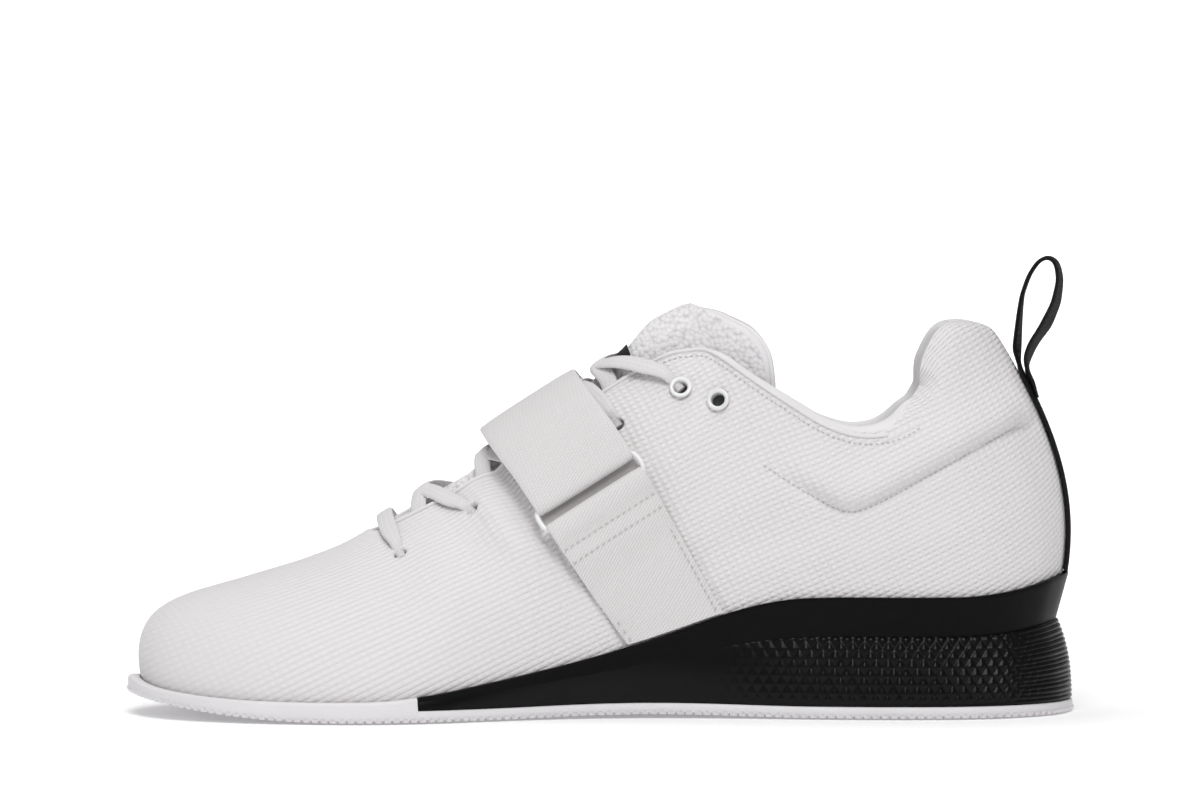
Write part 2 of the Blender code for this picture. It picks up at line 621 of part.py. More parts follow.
def wedge_side(turn, share, relief=0.0):
    """A point of the wedge's outer side: share is 0 at the outsole and 1 at the rim."""
    row = rows_at(turn)
    bottom = sole_bottom(row[:, 0]) + OUTSOLE_REAR + GAP
    rim = row[:, RIM_Z]
    low = sole_edge(turn, 0.7)
    high = at_height(turn, rim, GAP + RIM_WALL)
    depth = WAIST_OF_FLARE * row[:, FLARE] * np.clip((rim - bottom) / FULL_WAIST_HEIGHT, 0, 1)
    if share < LEDGE_AT:
        pull = (share / LEDGE_AT) ** 2.6
    else:
        pull = (1 - share) / (1 - LEDGE_AT)
    place = low + (high - low) * share - foot_normals(turn) * (depth * pull - relief)[:, None]
    return raised(place, bottom + (rim - bottom) * share)


def wedge_profile(turn):
    """One side of the wedge: ribbed flank, smooth cup band, rim and the bed inside."""
    row = rows_at(turn)
    ribbed = np.clip((row[:, 0] - 96) / 20, 0, 1)
    pitch = LEDGE_AT / RIB_COUNT
    points = [wedge_side(turn, 0.0)]
    for k in range(RIB_COUNT):
        points.append(wedge_side(turn, (k + 0.45) * pitch, RIB_RELIEF * ribbed))
        points.append(wedge_side(turn, (k + 0.9) * pitch))
    points += [wedge_side(turn, share) for share in (LEDGE_AT + 0.02, 0.8, 0.97)]
    rim, bed = row[:, RIM_Z], row[:, 2] - GAP
    points.append(raised(at_height(turn, rim, GAP + RIM_WALL - 0.5), rim))
    points.append(raised(at_height(turn, rim, GAP), rim))
    points.append(raised(at_height(turn, (rim + row[:, 2]) / 2, GAP), (rim + row[:, 2]) / 2))
    points.append(raised(row[:, :2] + foot_normals(turn) * GAP, bed))
    return points


def make_wedge():
    """Black heel wedge, cupped round the heel and run out to a thin front under the ball."""
    start = turn_at_x(WEDGE_FRONT_X + GAP)
    turns = np.array([start] + [u for u in drawn_turns() if u > start + 0.2])
    return lofted("heel_wedge", both_sides(wedge_profile, turns), "heel_plastic", cap_start=True)


def insole_profile(turn):
    """One side of the insole."""
    row, out = rows_at(turn), foot_normals(turn)
    place = row[:, :2] - out * (WALL + INSOLE_CLEAR)
    low = feather_z(place[:, 0]) + LASTING_BOARD + 2.5 * GAP
    return [
        raised(place, low),
        raised(place, low + INSOLE_THICK - 0.8),
        raised(place - out * 1.2, low + INSOLE_THICK),
    ]


def make_insole():
    """Foam insole on the lasting margin."""
    turns = np.array(drawn_turns())
    return lofted("insole", both_sides(insole_profile, turns), "insole_foam")


# Strap, ring and side band

WIDTH_WAY = np.array([math.cos(BAND_TILT), 0, math.sin(BAND_TILT)])
LENGTH_WAY = np.array([-math.sin(BAND_TILT), 0, math.cos(BAND_TILT)])
BAND_MIDDLE = np.array([BAND_X, 0, BAND_Z])


def arch(side, w):
    """The upper's outline in the tilted plane at w: heights h, points and normals, foot to ridge."""
    points, normals = (grid[20:300] for grid in FINE[side])
    offset = (points - BAND_MIDDLE) @ WIDTH_WAY
    rows = np.arange(len(offset))
    at = np.array([np.interp(w, column, rows) for column in offset.T])
    low = np.minimum(at.astype(int), len(rows) - 2)
    share = (at - low)[:, None]
    rib = np.arange(len(low))
    found = points[low, rib] * (1 - share) + points[low + 1, rib] * share
    out = normals[low, rib] * (1 - share) + normals[low + 1, rib] * share
    out[-1] = out[-2] * (1, 0, 1)
    out /= np.linalg.norm(out, axis=1, keepdims=True)
    return (found - BAND_MIDDLE) @ LENGTH_WAY, found, out


def over_upper(side, w, h, lift):
    """The point at (w, h) of the upper's side, stood off by lift."""
    heights, points, out = arch(side, w)
    place = np.array([np.interp(h, heights, column) for column in points.T])
    away = np.array([np.interp(h, heights, column) for column in out.T])
    return place + away * lift / np.linalg.norm(away)


def clear_of_rim(side, w):
    """The lowest height h on the upper's side that is clear of the sole's rim."""
    heights, points, _ = arch(side, w)
    turns = np.linspace(5, HEEL - 8, 200)
    rows = rows_at(turns if side < 0 else TURNS - turns)
    rim = np.interp(points[:, 0], rows[:, 0], rows[:, RIM_Z])
    return float(np.interp(0, points[:, 2] - rim - 3 * GAP, heights))


def fold(edge_h, turn_down):
    """Heights and lifts round a bar of the ring, from the inner ply to the outer ply."""
    angles = np.linspace(0, math.pi, 7)
    way = -1 if turn_down else 1
    heights = edge_h + way * (GAP + FOLD_RADIUS * np.sin(angles))
    return heights, WEBBING_CLEAR + WEBBING / 2 + FOLD_RADIUS * (1 - np.cos(angles))


def make_ring():
    """A flat ring that joins the strap to the medial side band."""
    widths = np.concatenate([[RING_OUTER_W[0]], np.linspace(*RING_INNER_W, 6), [RING_OUTER_W[1]]])
    heights = [RING_OUTER_H[0], RING_INNER_H[0], RING_INNER_H[1], RING_OUTER_H[1]]
    low = WEBBING_CLEAR + WEBBING + GAP
    grids = [
        np.array([[over_upper(-1, w, h, lift) for h in heights] for w in widths])
        for lift in (low + RING_THICK, low)
    ]
    holes = [(i, 1) for i in range(1, len(widths) - 2)]
    return plate("strap_ring", *grids, "ring_plastic", holes)


def make_side_band():
    """Medial side band: webbing that climbs from the sole, turns round the ring and ends inside."""
    ply = WEBBING_CLEAR + WEBBING / 2
    heights, lifts = fold(RING_INNER_H[0], False)
    path = [(-24.0, ply), (-20.0, ply + 0.9), (-16.3, ply + PLY), (-9.8, ply + PLY)]
    path += [(-6.8, lifts[-1]), *zip(heights[::-1], lifts[::-1]), (-9.8, ply), (-15.5, ply)]
    lines = []
    for s in np.linspace(-1, 1, 4):
        foot = clear_of_rim(-1, MIDDLE_W + s * (BAND_HALF - 40 * BAND_TAPER))
        climb = [(foot + (-24.0 - foot) * share, ply) for share in (0, 0.35, 0.7)]
        line = []
        for h, lift in climb + path:
            half = BAND_HALF + BAND_TAPER * min(h + 5, 0)
            line.append(over_upper(-1, MIDDLE_W + s * half, h, lift))
        lines.append(line)
    return ribbon("side_band", np.array(lines), WEBBING, WIDTH_WAY, "webbing")


def strap_point(side, s, h, lift):
    """A point of the strap; heights over 12 are stretched so that CROWN_H lies on the ridge."""
    climbed = np.clip((h - 12) / (CROWN_H - 12), 0, 1)
    middle = MIDDLE_W + (CROWN_MIDDLE_W - MIDDLE_W) * climbed
    w = middle + s * (STRAP_HALF + BAND_TAPER * min(h + 5, 0))
    crown = arch(side, w)[0][-1]
    point = over_upper(side, w, h if h < 12 else 12 + (crown - 12) * climbed, lift)
    return point * (1, 0, 1) if h == CROWN_H else point


def make_strap():
    """The strap: up from the lateral side, through the ring and back over its own first ply."""
    ply = WEBBING_CLEAR + WEBBING / 2
    heights, lifts = fold(RING_INNER_H[1], True)
    lines = []
    for s in np.linspace(-1, 1, 4):
        crown = (CROWN_LIFT_FRONT + CROWN_LIFT_REAR + s * (CROWN_LIFT_REAR - CROWN_LIFT_FRONT)) / 2
        climb = [(12.0, OVER_LACE_LIFT), (18.0, 0.6 * OVER_LACE_LIFT + 0.4 * crown)]
        climb += [(22.5, crown), (26.0, crown)]
        foot = clear_of_rim(1, MIDDLE_W + s * (STRAP_HALF - 35 * BAND_TAPER))
        root = [(foot + (0.0 - foot) * share, ply) for share in (0, 0.25, 0.5, 0.75, 1)]
        path = [(1, *step) for step in root + [(4.5, 2.2), (8.5, OVER_LACE_LIFT)] + climb]
        path += [(-1, CROWN_H, crown), *((-1, *step) for step in climb[::-1])]
        path += [(-1, 10.3, OVER_LACE_LIFT - 0.4), (-1, 7.0, ply)]
        path += [(-1, *step) for step in zip(heights, lifts)]
        path += [(-1, 7.0, lifts[-1]), (-1, 10.3, lifts[-1] + 0.5)]
        path += [(-1, h, lift + PLY) for h, lift in climb]
        path += [(1, CROWN_H, crown + PLY), *((1, h, lift + PLY) for h, lift in climb[::-1])]
        path += [(1, 8.5, OVER_LACE_LIFT + PLY), (1, 4.5, 2.2 + PLY), (1, 0.0, ply + PLY)]
        path += [(1, FREE_END_H, ply + PLY)]
        lines.append([strap_point(side, s, h, lift) for side, h, lift in path])
    return ribbon("strap", np.array(lines), WEBBING, WIDTH_WAY, "webbing")


# Eyelets and lace


def make_eyelets():
    """Enamelled grommets in the two top holes of each side: a flange on a short barrel."""
    profile = [
        (GROMMET_BORE, -GROMMET_DEPTH),
        (GROMMET_BARREL, -GROMMET_DEPTH),
        (GROMMET_BARREL, 0.0),
        (GROMMET_FLANGE, 0.0),
        (GROMMET_FLANGE - 0.3, GROMMET_LIP),
        (GROMMET_BORE + 0.4, GROMMET_LIP),
        (GROMMET_BORE, GROMMET_LIP - 0.3),
    ]
    angles = np.arange(12) * math.pi / 6
    for side, word in ((-1, "medial"), (1, "lateral")):
        for number, (x, z) in enumerate(EYELETS[PLAIN_HOLES:], PLAIN_HOLES + 1):
            place, _ = surface_point(side, x, z, 2)
            out = sum(surface_point(side, x + step, z, 2)[1] for step in (-3.5, 0, 3.5))
            out /= np.linalg.norm(out)
            one = np.cross(out, (0, 0, 1.0))
            one /= np.linalg.norm(one)
            two = np.cross(out, one)
            rings = [
                place
                + out * (GROMMET_LIFT + height)
                + radius * (np.outer(np.cos(angles), one) + np.outer(np.sin(angles), two))
                for radius, height in profile
            ]
            faces = grid_faces(len(rings), 12, True)
            solid(f"eyelet_{word}_{number}", np.concatenate(rings), faces, "eyelet_enamel")


def strand(name, waypoints):
    """A flat lace over the instep through (x, y, lift) waypoints."""
    waypoints = np.array(waypoints, float)
    steps = np.linspace(0, len(waypoints) - 1, 9)
    numbers = np.arange(len(waypoints))
    middle, out = [], []
    for x, y, lift in np.array([np.interp(steps, numbers, column) for column in waypoints.T]).T:
        place, normal = surface_point(-1 if y < 0 else 1, x, y, 1)
        middle.append(place + normal * lift)
        out.append(normal)
    middle, out = np.array(middle), np.array(out)
    wide = np.cross(np.gradient(middle, axis=0), out)
    wide /= np.linalg.norm(wide, axis=1, keepdims=True)
    angles = (np.arange(6) + 0.5) * math.pi / 3
    rings = [
        m + np.outer(np.cos(angles), w) * LACE_WIDE / 2 + np.outer(np.sin(angles), n) * LACE_THICK / 2
        for m, w, n in zip(middle, wide, out)
    ]
    return lofted(name, rings, "lace_cord", True, True)


def make_laces():
    """The lace as it shows: a bar at the bottom, then crossings; the top two are one solid."""
    holes = []
    for x, z in EYELETS[:-1]:
        place, _ = surface_point(-1, x, z, 2)
        holes.append((place[0], abs(place[1])))
    x, y = holes[0]
    low = LACE_LIFT
    bar = [(x, -y, low), (x - 3.5, -y / 2, low + 0.3), (x - 5, 0, low + 0.6)]
    strand("lace_bar_1", bar + [(x - 3.5, y / 2, low + 0.3), (x, y, low)])
    joined = None
    for number, cross in enumerate(CROSSINGS, 1):
        x, y = holes[number]
        before = holes[number - 1][0]
        far = float(throat_half(before)) - 2.5
        tail_x = 0.6 * cross.x + 0.4 * before
        for side in (-1, 1):
            way = [
                (x, side * y, cross.hole_lift),
                (0.5 * (x + cross.x), 0.5 * side * y, cross.lift - 0.1),
                (cross.x, 0, cross.lift),
                (tail_x, -side * far, low + 0.2),
            ]
            piece = strand(f"lace_cross_{number + 1}", way)
            if joined:
                boolean(joined, piece, "UNION")
            else:
                joined = piece
        if number < len(CROSSINGS) - 1:
            joined = None


# Tongue


def tongue_section(x, across):
    """Outer points and normals of the tongue at x, from the ribs of the upper."""
    stations = [row.x for row in TONGUE_ROWS]
    half = np.interp(x, stations, [row.half for row in TONGUE_ROWS])
    rise = np.interp(x, stations, [row.rise for row in TONGUE_ROWS])
    half_gap = max(float(throat_half(x)) - 3.0, 0.1)
    points, normals = [], []
    for y in across * half:
        place, out = surface_point(-1 if y <= 0 else 1, x, y, 1)
        if y == 0:
            out = np.array([out[0], 0, out[2]]) / math.hypot(out[0], out[2])
            place[1] = 0.0
        inside = np.clip(1 - (y / half_gap) ** 2, 0, 1)
        points.append(place - out * (WALL + TONGUE_CLEAR - rise * inside))
        normals.append(out)
    return np.array(points), np.array(normals)


def make_label():
    """Plain black label on the front of the tongue."""
    sections = []
    for x in LABEL_X:
        half = np.interp(x, [row.x for row in TONGUE_ROWS], [row.half for row in TONGUE_ROWS])
        sections.append(tongue_section(x, np.linspace(-1, 1, 7) * LABEL_HALF / half)[0])
    points = np.array(sections)
    normals = grid_normals(points, False)
    normals *= np.sign(normals[..., 2:].mean())
    low = points + normals * LABEL_CLEAR
    return plate("tongue_label", low + normals * LABEL_THICK, low, "label_film")


def make_tongue():
    """Padded tongue: it follows the inside of the instep and stands free above the collar."""
    across = np.array(TONGUE_ACROSS)
    outer, thick = [], []
    for row in TONGUE_ROWS:
        outer.append(tongue_section(row.x, across)[0])
        thick.append(row.thick)
    neck, top = (
        np.array(
            [
                (
                    np.interp(abs(a), [e.across for e in edge], [e.x for e in edge]),
                    np.sign(a) * np.interp(abs(a), [e.across for e in edge], [e.y for e in edge]),
                    np.interp(abs(a), [e.across for e in edge], [e.z for e in edge]),
                )
                for a in across
            ]
        )
        for edge in (TONGUE_NECK, TONGUE_TOP)
    )
    outer += [neck, (neck + top) / 2, top]
    thick += [TONGUE_TOP_THICK] * 3
    outer = np.array(outer)
    normals = grid_normals(outer, False)
    normals *= np.sign(normals[..., 2:].mean())
    thin_edge = 1 - 0.55 * np.abs(across) ** 3
    inner = outer - normals * np.array(thick)[:, None, None] * thin_edge[None, :, None]
    return plate("tongue", outer, inner, "tongue_mesh")


# Heel tape


def heel_line(z, stand_off):
    """The back of the upper in the plane of symmetry at height z, moved back by stand_off."""
    t = np.linspace(0, 1, 201)
    back = wall_points(np.array([float(HEEL)]), t[None])[0]
    x = np.interp(z, back[:, 2], back[:, 0])
    slope = np.gradient(back[:, 0], back[:, 2])
    lean = np.interp(z, back[:, 2], slope)
    length = np.sqrt(1 + lean**2)
    return x + stand_off / length, z - stand_off * lean / length


def make_tape():
    """Black heel tape: up the back seam, round a loop and down again over its own end."""
    first = GAP + TAPE_THICK / 2
    second = first + TAPE_THICK + GAP
    up = [heel_line(z, first) for z in np.linspace(TAPE_START_Z, TAPE_SPLIT_Z, 9)]
    down = [heel_line(z, second) for z in (TAPE_SPLIT_Z - 1.5, TAPE_SPLIT_Z - 5, TAPE_END_Z)]
    path = np.array(up + LOOP + down)
    flat = np.ones(len(path))
    flat[len(up) : len(up) + len(LOOP)] = 0
    flat = (flat + np.roll(flat, 1) + np.roll(flat, -1)) / 3
    lines = []
    for y in np.linspace(-TAPE_WIDE / 2, TAPE_WIDE / 2, 5):
        bend = TAPE_BEND * (2 * y / TAPE_WIDE) ** 2 * flat
        lines.append(np.column_stack([path[:, 0] - bend, np.full(len(path), y), path[:, 1]]))
    return ribbon("heel_tape", np.array(lines), TAPE_THICK, (0, 1, 0), "tape")


def main():
    for obj in list(bpy.data.objects):
        bpy.data.objects.remove(obj)
    make_outsole()
    make_wedge()
    make_insole()
    make_upper()
    make_tongue()
    make_label()
    make_ring()
    make_side_band()
    make_strap()
    make_eyelets()
    make_laces()
    make_tape()


main()
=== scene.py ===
"""Looks of a weightlifting shoe for the right foot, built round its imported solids.

Sizes are in millimetres, and MM turns them into metres. The toe points to -X, the medial side
faces -Y and the floor is Z = 0. Each section makes one piece or one small group of pieces.
"""

import math
from collections import namedtuple

import bmesh
import bpy
import numpy as np
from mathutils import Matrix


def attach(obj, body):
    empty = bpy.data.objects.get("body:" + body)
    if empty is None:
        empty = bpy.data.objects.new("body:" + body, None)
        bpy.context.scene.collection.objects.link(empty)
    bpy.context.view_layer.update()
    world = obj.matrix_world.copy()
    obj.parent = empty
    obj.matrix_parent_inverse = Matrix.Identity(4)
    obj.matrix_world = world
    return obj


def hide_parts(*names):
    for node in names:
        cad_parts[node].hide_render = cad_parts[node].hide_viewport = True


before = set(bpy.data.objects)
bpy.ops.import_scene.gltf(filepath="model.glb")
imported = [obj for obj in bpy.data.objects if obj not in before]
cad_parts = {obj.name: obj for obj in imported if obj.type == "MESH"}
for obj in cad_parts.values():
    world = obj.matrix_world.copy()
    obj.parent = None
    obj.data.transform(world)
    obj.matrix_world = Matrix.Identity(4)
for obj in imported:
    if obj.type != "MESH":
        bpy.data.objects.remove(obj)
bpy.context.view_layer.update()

# Upper: a coarse ribbed weave, lasted over a thin board and padded at the collar. Its form is a row
# of ribs that stand on the feather line, where upper meets sole. Creases are soft troughs and
# ridges in that form, the holes are punched through the wall, and the weave is bump.

MM = 0.001
GAP = 0.3
Rib = namedtuple(
    "Rib",
    "foot_x foot_in foot_out foot_z edge_x edge_in edge_out edge_z edge_drop "
    "low_out low_up high_out high_down flare_in flare_out rim_z pad",
)
RIB_ROWS = [
    (-141.5, -6.0, -6.0, 9.9, -116.0, -4.0, -4.0, 39.6, 0.0, 3.5, 17.0, 23.0, 4.4, 4.2, 4.2, 11.6, 2.2),
    (-138.5, -20.0, 7.5, 9.2, -115.0, -4.0, -4.0, 39.9, 0.0, 3.5, 17.0, 22.0, 3.9, 4.0, 4.0, 10.4, 2.2),
    (-132.0, -30.5, 18.0, 8.0, -112.0, -3.8, -3.8, 40.7, 0.0, 3.8, 17.5, 22.5, 3.0, 3.8, 3.8, 9.1, 2.2),
    (-121.0, -39.2, 28.5, 6.6, -106.5, -3.2, -3.2, 42.2, 0.0, 4.0, 18.5, 23.5, 2.2, 3.6, 3.6, 7.9, 2.2),
    (-107.0, -45.2, 38.0, 5.6, -98.5, -2.2, -2.2, 44.5, 0.0, 4.5, 20.0, 25.0, 1.2, 3.6, 3.6, 7.0, 2.2),
    (-92.0, -48.5, 44.2, 5.3, -88.5, -1.2, -1.2, 47.9, 0.0, 5.5, 21.5, 25.0, 0.8, 3.8, 3.8, 6.7, 2.2),
    (-78.0, -49.9, 48.0, 5.3, -78.0, -0.4, -0.4, 52.5, 0.0, 6.5, 23.5, 22.0, 1.2, 4.0, 4.0, 6.7, 2.2),
    (-64.0, -49.1, 49.9, 5.6, -66.5, 0.0, 0.0, 59.6, 0.0, 7.0, 26.0, 17.5, 2.4, 4.0, 4.0, 7.1, 2.2),
    (-50.0, -45.9, 49.4, 6.6, -53.0, 0.0, 0.0, 68.0, 0.0, 7.0, 30.0, 17.0, 2.6, 3.4, 3.8, 8.9, 2.2),
    (-36.0, -40.5, 47.5, 8.6, -38.5, 0.0, 0.0, 76.8, 0.0, 6.5, 35.0, 18.0, 2.4, 2.6, 3.4, 11.5, 2.2),
    (-20.0, -35.0, 44.8, 11.4, -21.0, 0.0, 0.0, 89.3, 0.0, 6.0, 40.0, 20.5, 1.8, 1.8, 3.0, 14.8, 2.2),
    (-4.0, -31.0, 42.0, 14.4, -4.0, 0.0, 0.0, 101.0, 0.0, 5.5, 42.0, 23.0, 1.4, 1.5, 3.0, 18.6, 2.2),
    (12.0, -29.0, 39.5, 17.5, 11.5, 0.0, 0.0, 110.6, 0.0, 5.5, 44.0, 25.0, 1.0, 1.7, 3.3, 23.2, 2.2),
    (25.0, -28.5, 37.5, 19.8, 24.5, 0.0, 0.0, 116.2, 0.0, 5.5, 46.0, 25.5, 1.6, 2.1, 3.7, 27.5, 2.2),
    (36.0, -28.5, 36.0, 21.5, 35.5, -18.5, 18.5, 110.6, 0.5, 5.5, 40.0, 5.0, 13.5, 2.7, 4.1, 31.4, 2.6),
    (47.0, -29.0, 35.2, 23.0, 45.5, -23.0, 23.8, 103.4, 1.0, 6.0, 36.0, 3.5, 18.0, 3.5, 4.5, 34.6, 3.6),
    (58.0, -29.8, 34.6, 24.2, 56.5, -26.6, 27.8, 96.2, 1.4, 6.0, 33.0, 3.0, 18.0, 4.3, 4.9, 36.6, 4.6),
    (69.0, -30.5, 34.0, 25.0, 66.5, -28.8, 30.0, 90.0, 1.5, 6.0, 30.0, 3.0, 17.0, 5.0, 5.2, 37.2, 5.4),
    (80.0, -31.0, 33.4, 25.6, 77.0, -29.8, 30.8, 86.3, 1.5, 6.0, 28.0, 3.0, 16.0, 5.6, 5.6, 37.3, 5.8),
    (91.0, -31.0, 32.6, 26.0, 87.5, -29.8, 30.6, 86.4, 1.5, 6.0, 28.0, 3.0, 15.0, 6.0, 6.0, 37.2, 6.4),
    (102.0, -30.3, 31.3, 26.2, 96.5, -28.8, 29.2, 90.4, 1.2, 6.5, 28.0, 3.0, 16.0, 6.4, 6.4, 37.2, 7.0),
    (112.0, -28.5, 29.0, 26.4, 102.0, -27.3, 27.6, 97.6, 0.8, 6.5, 29.0, 4.0, 20.0, 6.7, 6.7, 37.3, 6.8),
    (121.0, -25.0, 25.3, 26.5, 104.6, -25.0, 25.2, 107.8, 0.3, 7.0, 29.5, 6.8, 26.5, 7.0, 7.0, 38.2, 6.8),
    (129.0, -19.5, 19.6, 26.5, 108.6, -20.5, 20.7, 115.4, 0.0, 8.3, 30.3, 10.5, 31.0, 7.2, 7.2, 39.8, 6.5),
    (135.0, -12.0, 12.0, 26.6, 115.5, -12.5, 12.5, 117.6, 0.0, 9.3, 30.3, 17.0, 35.0, 7.2, 7.2, 41.9, 6.3),
    (138.5, 0.0, 0.0, 26.6, 121.5, 0.0, 0.0, 117.2, 0.0, 9.7, 30.4, 23.0, 37.2, 7.2, 7.2, 43.2, 6.1),
]
RIBS = [Rib(*row) for row in RIB_ROWS]
HEEL = len(RIBS) - 1
TURNS = 2 * HEEL
FOOT, EDGE = slice(0, 3), slice(3, 6)
LOW_OUT, LOW_UP, HIGH_OUT, HIGH_DOWN, FLARE, RIM_Z, PAD = range(6, 13)


def rib_row(r, side):
    """One rib on one side, as the numbers that are blended from rib to rib."""
    medial = side < 0
    return (
        *(r.foot_x, r.foot_in if medial else r.foot_out, r.foot_z),
        *(r.edge_x, r.edge_in if medial else r.edge_out, r.edge_z - (0 if medial else r.edge_drop)),
        *(r.low_out, r.low_up, r.high_out, r.high_down),
        *(r.flare_in if medial else r.flare_out, r.rim_z, r.pad),
    )


ROWS = np.array([rib_row(r, -1) for r in RIBS] + [rib_row(r, 1) for r in RIBS[HEEL - 1 : 0 : -1]])


def rows_at(turn):
    """A smooth curve through the ribs: 0 at the toe, HEEL at the back and on to TURNS."""
    turn = np.asarray(turn, float)
    low = np.floor(turn).astype(int)
    t = (turn - low)[..., None]
    before, start, end, after = (ROWS[(low + k) % TURNS] for k in (-1, 0, 1, 2))
    into, out = (end - before) / 2, (after - start) / 2
    return (
        (2 * t**3 - 3 * t**2 + 1) * start
        + (t**3 - 2 * t**2 + t) * into
        + (3 * t**2 - 2 * t**3) * end
        + (t**3 - t**2) * out
    )


FEATHER = rows_at(np.linspace(0, HEEL, 501))[:, [0, 2]]


def feather_z(x):
    """Height of the feather line over a place x."""
    return np.interp(x, FEATHER[:, 0], FEATHER[:, 1])


def foot_normals(turn):
    """The outward direction of the feather line in plan."""
    tangent = rows_at(np.asarray(turn) + 0.05)[..., :2] - rows_at(np.asarray(turn) - 0.05)[..., :2]
    normal = np.stack([tangent[..., 1], -tangent[..., 0]], -1)
    return normal / np.linalg.norm(normal, axis=-1, keepdims=True)


def wall_points(turn, t):
    """Points of the upper's outer face: t is 0 at the foot of a rib and 1 at its edge."""
    row, out = rows_at(turn), foot_normals(turn)
    foot, edge = row[:, FOOT], row[:, EDGE]
    low = foot + np.column_stack([out * row[:, [LOW_OUT]], row[:, LOW_UP]])
    high = edge + np.column_stack([out * row[:, [HIGH_OUT]], -row[:, HIGH_DOWN]])
    t = np.asarray(t, float)[..., None]
    points = [p[:, None, :] for p in (foot, low, high, edge)]
    weights = ((1 - t) ** 3, 3 * t * (1 - t) ** 2, 3 * t**2 * (1 - t), t**3)
    return sum(w * p for w, p in zip(weights, points))


THROAT_FRONT_X, THROAT_TOP_X = -72.0, 45.0
THROAT_FRONT_HALF, THROAT_ROUND, THROAT_WIDENING = 8.8, 9.0, 0.035


def throat_half(x):
    """Half the width of the throat opening at x, with a rounded front."""
    x = np.asarray(x, float)
    into = np.clip((x - THROAT_FRONT_X) / THROAT_ROUND, 0, 1)
    half = THROAT_FRONT_HALF * np.sqrt(into * (2 - into))
    half = half + THROAT_WIDENING * np.clip(x - THROAT_FRONT_X, 0, None)
    return np.where(x < THROAT_TOP_X, half, 0.0)


def rib_ends(turn):
    """How far up its rib the wall goes: to the edge, or to where the throat cuts it."""
    t = np.linspace(0.3, 1, 281)
    points = wall_points(turn, np.tile(t, (len(turn), 1)))
    spare = np.abs(points[..., 1]) - throat_half(points[..., 0])
    ends = np.ones(len(turn))
    for k, row in enumerate(spare):
        cut = np.nonzero(row < 0)[0]
        if len(cut) and points[k, -1, 0] > THROAT_FRONT_X:
            j = cut[0]
            ends[k] = t[j - 1] + (t[j] - t[j - 1]) * row[j - 1] / (row[j - 1] - row[j])
    return ends


def grid_normals(points, closed):
    """Outward normals of a grid that runs along the ribs' turn and up the wall."""
    if closed:
        along = np.roll(points, -1, 0) - np.roll(points, 1, 0)
    else:
        along = np.gradient(points, axis=0)
    normal = np.cross(along, np.gradient(points, axis=1))
    return normal / np.maximum(np.linalg.norm(normal, axis=-1, keepdims=True), 1e-9)


def ramp(value, start, end):
    """A soft step from 0 at start to 1 at end."""
    t = np.clip((value - start) / (end - start), 0, 1)
    return t * t * (3 - 2 * t)


def hump(value, width):
    """A soft ridge of height 1 round zero."""
    return np.exp(-((value / width) ** 2))


# The collar's foam ends in a sewn groove that climbs to the back seam.
GROOVE = np.array(
    [(50, 77), (55.3, 73.4), (61.4, 69.7), (70.7, 64.3), (76.9, 62.7), (86.1, 66.7), (101.6, 75.2)]
    + [(120.1, 85), (135.5, 91.3)]
)
for _ in range(3):
    before, after = GROOVE[:-1], GROOVE[1:]
    GROOVE = np.concatenate([GROOVE[:1], (3 * before + after) / 4, (before + 3 * after) / 4])
    GROOVE = GROOVE[np.argsort(GROOVE[:, 0])]
# Soft creases seen from the side: middle, direction in degrees, half length, width and height.
Crease = namedtuple("Crease", "x z angle reach width height")
CREASES = [
    Crease(-22.4, 62.0, -52, 20, 2.4, -2.5),
    Crease(-29.5, 57.0, -52, 19, 4.2, 2.0),
    Crease(-38.5, 49.0, -50, 16, 4.5, -0.5),
    Crease(-49, 44, -54, 15, 5.5, 0.7),
    Crease(-60, 38, -58, 12, 4.5, -0.5),
    Crease(-74, 36, 20, 14, 5.0, 0.5),
    Crease(-88, 30, 12, 18, 6.0, -0.45),
    Crease(20, 86, 62, 14, 4.5, -0.7),
    Crease(27, 83, 66, 13, 4.0, 0.6),
    Crease(44, 66, 28, 22, 6.0, 0.55),
    Crease(40, 52, 20, 24, 5.5, -0.5),
    Crease(68, 50, 8, 22, 6.5, 0.6),
    Crease(112, 58, 12, 16, 6.0, 0.5),
]


RIPPLE, SMOOTH_ABOVE_SOLE = 0.22, (10, 24)
PADDING, PADDING_EDGE, PADDING_REACH = 2.7, 2.8, 9
GROOVE_DEEP, GROOVE_WIDE, GROOVE_LEAN, GROOVE_START_X = 1.7, 1.5, 0.92, (50, 72)
UNDER_TAPE_X, UNDER_TAPE_Y = (100, 112), (6.5, 13)


def relief(points):
    """How far the cloth stands out of the plain form."""
    x, y, z = np.moveaxis(points, -1, 0)
    height = RIPPLE * np.sin(x / 9.1 + z / 13.7) * np.sin(z / 8.3 - x / 21 + 0.04 * y)
    for c in CREASES:
        along = (x - c.x) * math.cos(math.radians(c.angle)) + (z - c.z) * math.sin(math.radians(c.angle))
        away = (z - c.z) * math.cos(math.radians(c.angle)) - (x - c.x) * math.sin(math.radians(c.angle))
        height = height + c.height * hump(away, c.width) * hump(along, c.reach)
    seam = GROOVE_LEAN * (z - np.interp(x, GROOVE[:, 0], GROOVE[:, 1]))
    shown = ramp(x, *GROOVE_START_X)
    above = np.clip(seam, 0, None)
    padding = PADDING * (1 - hump(above, PADDING_EDGE)) * hump(np.clip(above - 5, 0, None), PADDING_REACH)
    height = height + shown * (padding - GROOVE_DEEP * hump(seam, GROOVE_WIDE))
    by_tape = 1 - ramp(x, *UNDER_TAPE_X) * (1 - ramp(np.abs(y), *UNDER_TAPE_Y))
    return height * ramp(z - feather_z(x), *SMOOTH_ABOVE_SOLE) * by_tape


